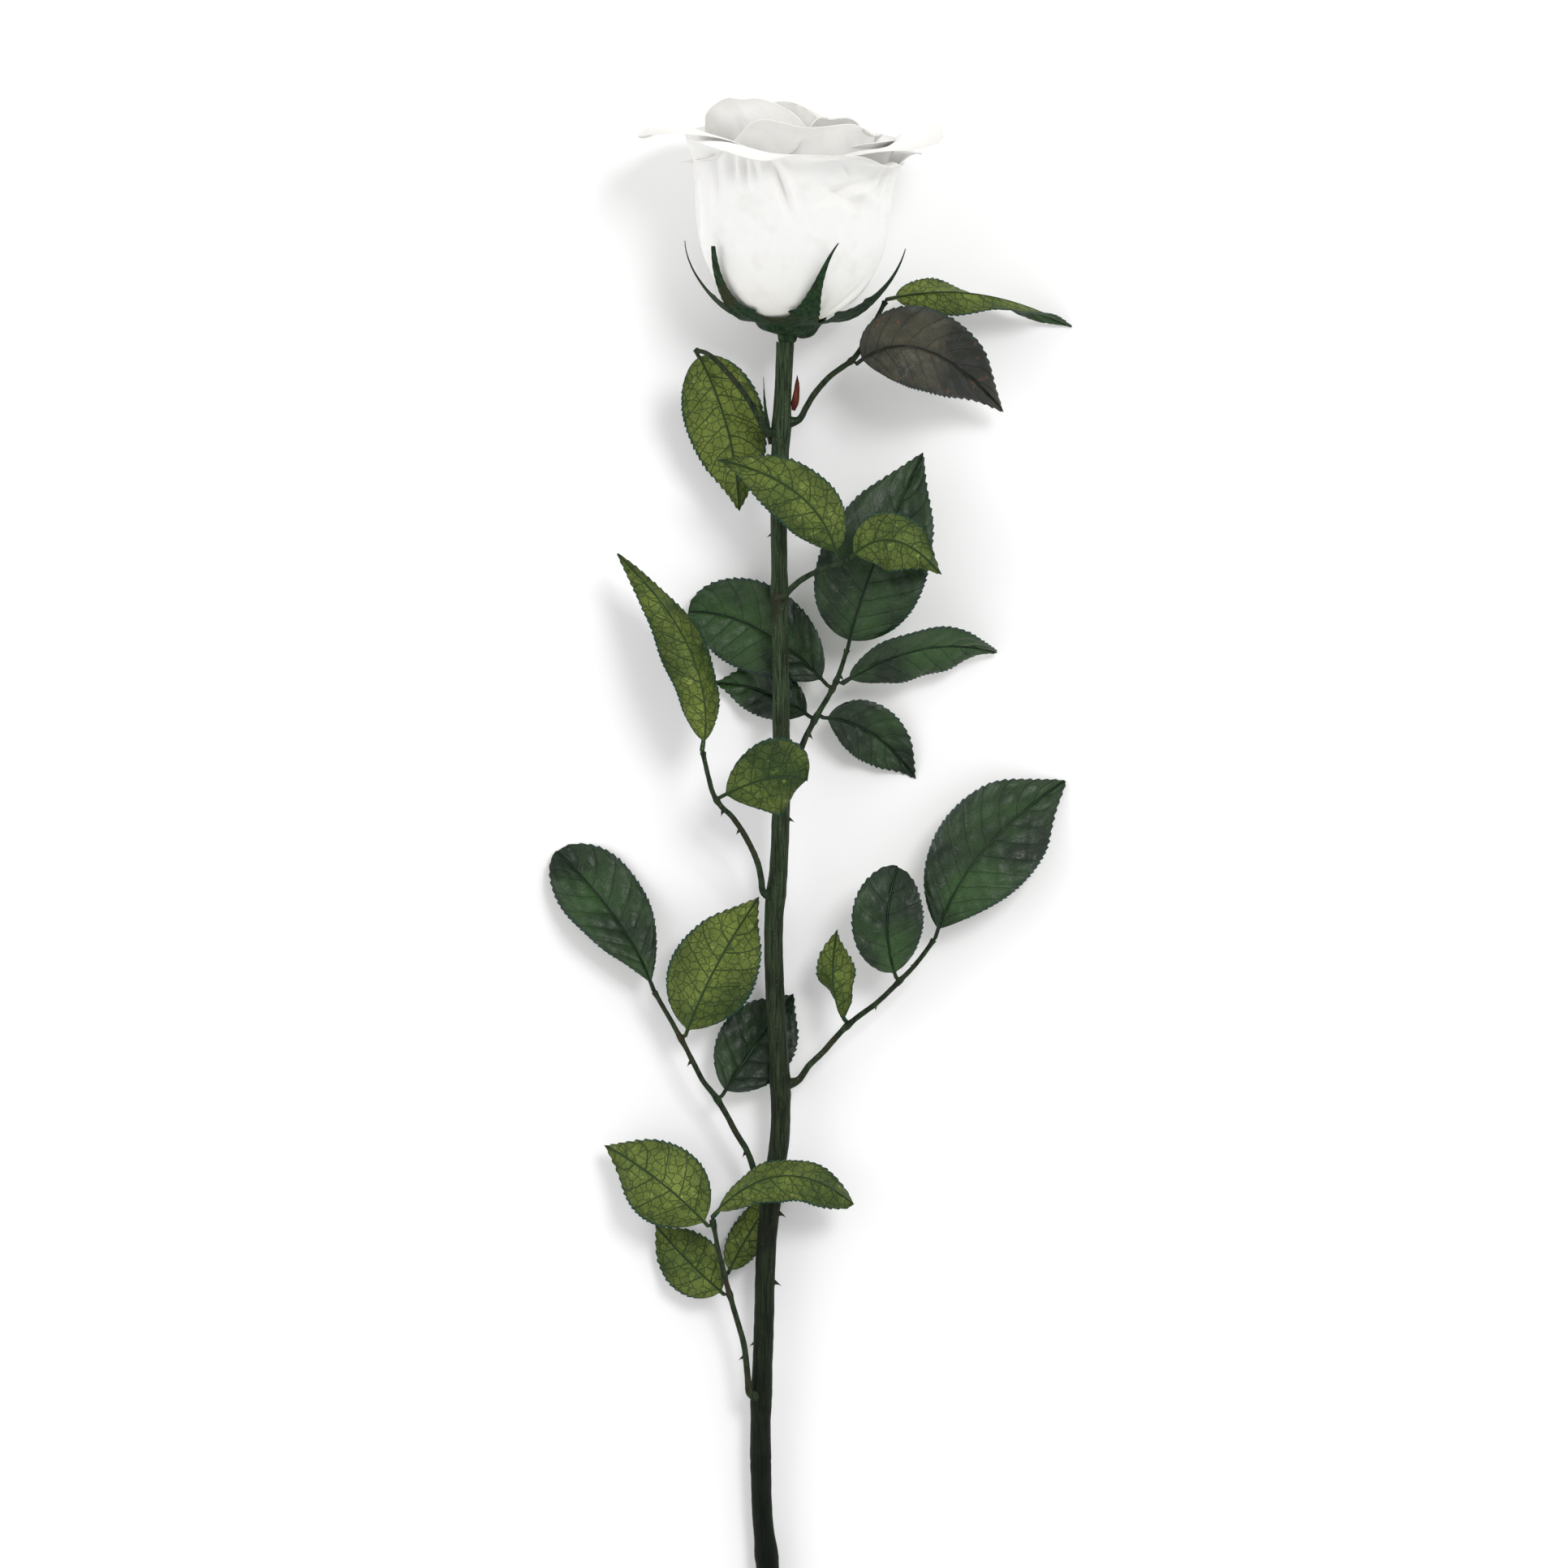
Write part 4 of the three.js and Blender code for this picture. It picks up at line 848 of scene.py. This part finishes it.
def makeLeaflet(leaf, index, shape):
    seed = index * 1.7 + leaf["joint"] * 40
    pale = shape.get("pale", False)
    face = paleShape if pale else waxedShape
    toUpper = -1 if pale else 1  # which way the leaf's waxed side looks
    foot, stalkAlong = stalkAt(leaf, shape["at"])
    bend, tip = np.array(shape["bend"]), np.array(shape["tip"])
    if shape["at"] == 1:
        base = foot + stalkAlong * (leafSizes["gap"] + 0.3)
    else:
        away = unit(bend - stalkAlong * np.dot(bend, stalkAlong))
        base = foot + away * (stalkRadius(shape["at"]) + leafSizes["gap"] + 0.4)
    bendPoint, tipPoint = base + bend, base + tip
    if shape.get("rests"):
        tipPoint[2] = leafSizes["cadThickness"] / 2 + 0.1
        bendPoint[2] = base[2] * 0.62 + bend[2]
    turn = 2 * bendPoint - (base + tipPoint) / 2
    length = float(np.linalg.norm(bendPoint - base) + np.linalg.norm(tipPoint - bendPoint))

    teeth = max(10, round(length / leafSizes["toothSpacing"]))
    rows = teeth * 6
    share = np.linspace(0, 1, rows + 1)[:, None]
    line = (1 - share) ** 2 * base + 2 * share * (1 - share) * turn + share ** 2 * tipPoint
    along = unit(2 * (1 - share) * (turn - base) + 2 * share * (tipPoint - turn))
    flat = unit(np.cross(along, [0, 0, 1]))
    roll = math.radians(shape.get("roll", 0)) + np.radians(shape.get("twist", 0)) * (share - 0.4)
    flat = flat * np.cos(roll) + np.cross(along, flat) * np.sin(roll)
    normal = np.cross(flat, along)

    across = np.concatenate([-halfSteps[:0:-1], halfSteps])[None, :]
    size = np.abs(across)
    smoothWidth = np.maximum(shape["half"] * bladeWidth(share, shape), 0.42 * (1 - smooth(0.3, 0.9, share)) + 0.05)
    # forward-pointing teeth that fade at the neck
    phase = (share * teeth + 0.3 * np.sign(across)) % 1
    saw = np.where(phase < 0.8, phase / 0.8, (1 - phase) / 0.2)
    edge = smooth(0.8, 1.0, size) * smooth(0.07, 0.14, share)
    jitter = 1 + 0.35 * np.sin(share * teeth * 1.9 + seed + across)
    tooth = leafSizes["toothDepth"] * jitter * (saw - 0.5) * edge * (1 - 0.5 * smooth(0.85, 1, share))
    x = smoothWidth * across + np.sign(across) * tooth
    forward = 0.55 * leafSizes["toothDepth"] * saw * edge

    # side veins run out and forward, one every few millimetres; the blade puffs up between them
    ribs = max(5, round(length / leafSizes["veinSpacing"]))
    lateral = (share - 0.17 * size ** 1.25) * ribs + 0.5 * (across < 0)
    apart = np.abs((lateral + 0.5) % 1 - 0.5)
    inside = (smooth(0, 0.1, size) * (1 - smooth(0.84, 1, size))
              * smooth(0.06, 0.16, share) * (1 - smooth(0.86, 1, share)))
    puff = face["puff"] * (1 - np.exp(-(apart / 0.2) ** 2)) * inside
    puff = puff + face["swell"] * ripple(x * 0.55, share * length * 0.42, seed) * inside
    groove = -leafSizes["groove"] * np.exp(-(x / 0.4) ** 2) * smooth(0.05, 0.15, share)
    folded = math.sin(math.radians(face["fold"]))
    lift = smoothWidth * folded * (np.sqrt(across ** 2 + 0.004) - 0.063) * (1 - 0.25 * size)
    waves = (leafSizes["wave"] * smooth(0.5, 1, size) * np.sin(2 * np.pi * share * 2.6 + seed + np.sign(across))
             * smooth(0.1, 0.3, share))
    curl = -leafSizes["curl"] * smoothWidth * size ** 3
    z = toUpper * (lift + puff + groove + curl) + waves
    surface = (line[:, None, :] + x[..., None] * flat[:, None, :] + z[..., None] * normal[:, None, :]
               + forward[..., None] * along[:, None, :])
    thick = leafSizes["thickness"] / 2 * (1 - 0.5 * smooth(0.8, 1, size)) + 0.3 * (1 - smooth(0.02, 0.07, share))
    rib = leafSizes["rib"] * np.exp(-(x / 0.4) ** 2) * (1 - 0.85 * share) * smooth(0.03, 0.06, share)
    aboveMore, belowMore = (rib, 0) if pale else (0, rib)
    above = surface + normal[:, None, :] * (thick + aboveMore)[..., None]
    below = surface - normal[:, None, :] * (thick + belowMore)[..., None]
    # a short stalk of its own back into the leaf's main stalk
    more = leafSizes["neckRows"]
    neck = np.linspace(0, 1, more + 1)[:-1, None, None]
    start = foot - unit(base - foot) * 0.2

    def withNeck(grid, least):  # nothing sinks into the table
        lead = start + (grid[0] - base) * 0.9
        grid = np.concatenate([lead * (1 - neck) + grid[0] * neck, grid])
        grid[..., 2] = np.maximum(grid[..., 2], least)
        return grid

    points, faces, side = sheet(withNeck(above, leafSizes["thickness"] if shape.get("rests") else 0.25),
                                withNeck(below, 0.05))
    x, lateral = [np.concatenate([np.repeat(grid[:1], more, 0), grid]) for grid in (x, lateral)]
    way = np.concatenate([np.zeros((more, 1)), share]) * length
    bladeUv, ribsUv = [np.tile(np.stack(np.broadcast_arrays(*pair), -1).reshape(-1, 2), (2, 1))
                       for pair in ((x, way), (lateral, size))]
    waxed = leafBronzed if shape.get("bronzed") else leafUpper
    skins = ([leafUnder, waxed] if pale else [waxed, leafUnder]) + [stalkSkin]
    onNeck = np.tile(np.arange(x.size) < (more + 1) * x.shape[1], 2)
    side = np.where(onNeck[faces].all(axis=1), 2, side)
    name = f"{leaf['name']}_leaflet_{index + 1}"
    piece = newObject(name + "_blade", toRow(points), faces, skins, faceMaterial=side,
                      uvs={"blade": bladeUv, "ribs": ribsUv}, sharp=75)
    ready(piece, name, "leaf_under" if pale else "leaf_upper")


for leaf in leaves:
    makeStalk(leaf)
    for index, shape in enumerate(leaf["leaflets"]):
        makeLeaflet(leaf, index, shape)
print("leaves made")


# ---- prickles

prickle = dict(rings=9, sides=10, hook=0.55, squash=0.45, size=0.0009,
               onCane=[(0.148, 200, 1.8), (0.252, 330, 1.6), (0.352, 15, 1.9), (0.47, 250, 2), (0.636, 10, 2.2),
                       (0.686, 5, 2), (0.73, 215, 2.4), (0.852, 300, 2.4)], onStalk=1.6)


def prickleShape():  # one hooked prickle, 1 long, broad along the stem at its foot
    points, faces = [], []
    rings, sides = prickle["rings"], prickle["sides"]
    for ring in range(rings):
        u = ring / (rings - 1)
        width = 0.42 * (1 - u) ** 1.3 + 0.015
        for side in range(sides):
            a = 2 * math.pi * side / sides
            points.append((width * prickle["squash"] * math.cos(a) * (1.0 + 0.3 * (1 - u)),
                           width * math.sin(a) - prickle["hook"] * u ** 1.7, u - 0.12))
            if ring < rings - 1:
                here, after = ring * sides + side, ring * sides + (side + 1) % sides
                faces.append((here, after, after + sides, here + sides))
    faces.append(tuple(range(sides - 1, -1, -1)))
    faces.append(tuple(range((rings - 1) * sides, rings * sides)))
    return plainMesh("prickle_shape", points, faces)


def prickleTree(template):
    tree, identifiers = newGroup("set prickles", [("Spots", "Geometry"), ("Prickle Size", "Float"),
                                                  ("Skin", "Material")])
    given = put(tree, "NodeGroupInput")
    shape = put(tree, "GeometryNodeObjectInfo", {"Object": template, "As Instance": True})
    out, down, big = [put(tree, "GeometryNodeInputNamedAttribute", {"Name": name}, data_type=kind)
                      for name, kind in (("out", "FLOAT_VECTOR"), ("down", "FLOAT_VECTOR"), ("big", "FLOAT"))]
    aim = put(tree, "FunctionNodeAxesToRotation", [out, down], primary_axis="Z", secondary_axis="Y")
    scale = put(tree, "Math", [big, given.outputs["Prickle Size"]], operation="MULTIPLY")
    closeGroup(tree, given, put(tree, "GeometryNodeInstanceOnPoints", {
        "Points": given.outputs["Spots"], "Instance": shape.outputs["Geometry"], "Rotation": aim, "Scale": scale}))
    return tree, identifiers


def makePrickles():
    spots, outs, downs, bigs = [], [], [], []
    for share, around, length in prickle["onCane"]:
        out = aroundCane(around)
        spots.append(caneCentre(share) + out * caneRadius(np.array(share)) * 0.94)
        outs.append(out)
        downs.append((0, 1, 0))
        bigs.append(length)
    for leaf in leaves:
        for share, around in leaf["prickles"]:
            point, along = stalkAt(leaf, share)
            side = unit(np.cross(along, [0, 0, 1]))
            up = np.cross(side, along)
            out = side * math.cos(math.radians(around)) + up * math.sin(math.radians(around))
            spots.append(point + out * leafSizes["stalkTip"] * 0.9)
            outs.append(out)
            downs.append(along)
            bigs.append(prickle["onStalk"])
    source = plainMesh("prickle_spots", [tuple(p) for p in toRow(spots)], [])
    for name, kind, values in (("out", "FLOAT_VECTOR", outs), ("down", "FLOAT_VECTOR", downs), ("big", "FLOAT", bigs)):
        made = source.data.attributes.new(name, kind, "POINT")
        made.data.foreach_set("vector" if kind == "FLOAT_VECTOR" else "value", np.asarray(values, np.float32).ravel())
    template = prickleShape()
    tree, identifiers = prickleTree(template)
    piece = growMesh(source, "prickles_horn", tree, identifiers, {
        "Prickle Size": prickle["size"], "Skin": pricklePoint})
    bpy.data.objects.remove(template)
    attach(piece, "root")


makePrickles()
print("prickles made")


# ---- bud and scale leaf beside the cane

def makeSpindle(name, node, slot, skin, start, end, radius, outline, bow):
    share = np.linspace(0, 1, 40)
    line = start + (end - start) * share[:, None]
    line = line + np.array(bow) * np.sin(np.pi * share)[:, None]
    piece = sweepLine(name, line, radius * easeTable(outline, share), skin, 20, 0.00025, 700.0)
    ready(piece, node, slot)


makeSpindle("axil_bud_scales", "axil_bud", "axil_bud", budScale, besideCane(0.06, 4, 0.5), besideCane(0.035, 4, 1.2),
            0.9, [(0, 0.5), (0.2, 1), (0.5, 0.85), (0.75, 0.6), (1, 0.06)], (0.3, 0, 0.2))
makeSpindle("scale_leaf_green", "scale_leaf", "cane", stalkSkin, besideCane(0.084, 196, 0.3),
            besideCane(0.036, 190, 2.9), 0.62, [(0, 0.8), (0.25, 1), (0.6, 0.5), (1, 0.08)], (-0.4, 0, 0))
print("bud made")


# ---- table, light and camera

def makeFloor(half=3.0):  # white paper sweep: matt, pale and even
    material, tree, shader = newMaterial("white paper sweep")
    wire(tree, shader, {"Base Color": (0.93, 0.93, 0.93, 1), "Roughness": 0.9, "Specular IOR Level": 0.1})
    floor = plainMesh("floor", [(-half, -half, 0), (half, -half, 0), (half, half, 0), (-half, half, 0)], [(0, 1, 2, 3)])
    floor.data.materials.append(material)


def addLamp(name, power, size, place):  # aimed at the origin
    lamp = bpy.data.lights.new(name, "AREA")
    lamp.energy, lamp.size = power, size
    holder = addObject(name, lamp)
    holder.location = place
    holder.rotation_euler = (-Vector(place)).to_track_quat("-Z", "Y").to_euler()


makeFloor()
# a soft tent: bright walls all round, dimmer straight above, so that waxed leaves keep their depth
world = bpy.data.worlds.new("studio")
world.use_nodes = True
tent = world.node_tree
where = put(tent, "TexCoord")
aim = put(tent, "SeparateXYZ", [where.outputs["Generated"]])
level = put(tent, "MapRange", [aim.outputs[2], 0.3, 0.95, 1.15, 0.6])
wire(tent, tent.nodes["Background"], [(1, 1, 1, 1), level])
bpy.context.scene.world = world
addLamp("soft box top right", 6.0, 0.4, (0.42, 0.5, 1.15))
addLamp("fill left", 2.5, 0.8, (-1.0, 0.1, 0.8))
bpy.context.scene.view_settings.view_transform = "Standard"

view = dict(width=386.4, lens=120.0, sensor=36.0, middle=(0.2, -112.2), plane=12.0)
lensData = bpy.data.cameras.new("camera")
lensData.lens, lensData.sensor_width = view["lens"], view["sensor"]
lensData.clip_start, lensData.clip_end = 0.05, 10
camera = addObject("camera", lensData)
away = view["width"] * view["lens"] / view["sensor"]
camera.location = toRow([view["middle"][0], view["middle"][1], view["plane"] + away])
camera.rotation_euler = (0, 0, 0)  # looks straight down with the bloom at the top
bpy.context.scene.camera = camera

bpy.context.view_layer.update()
print("done")
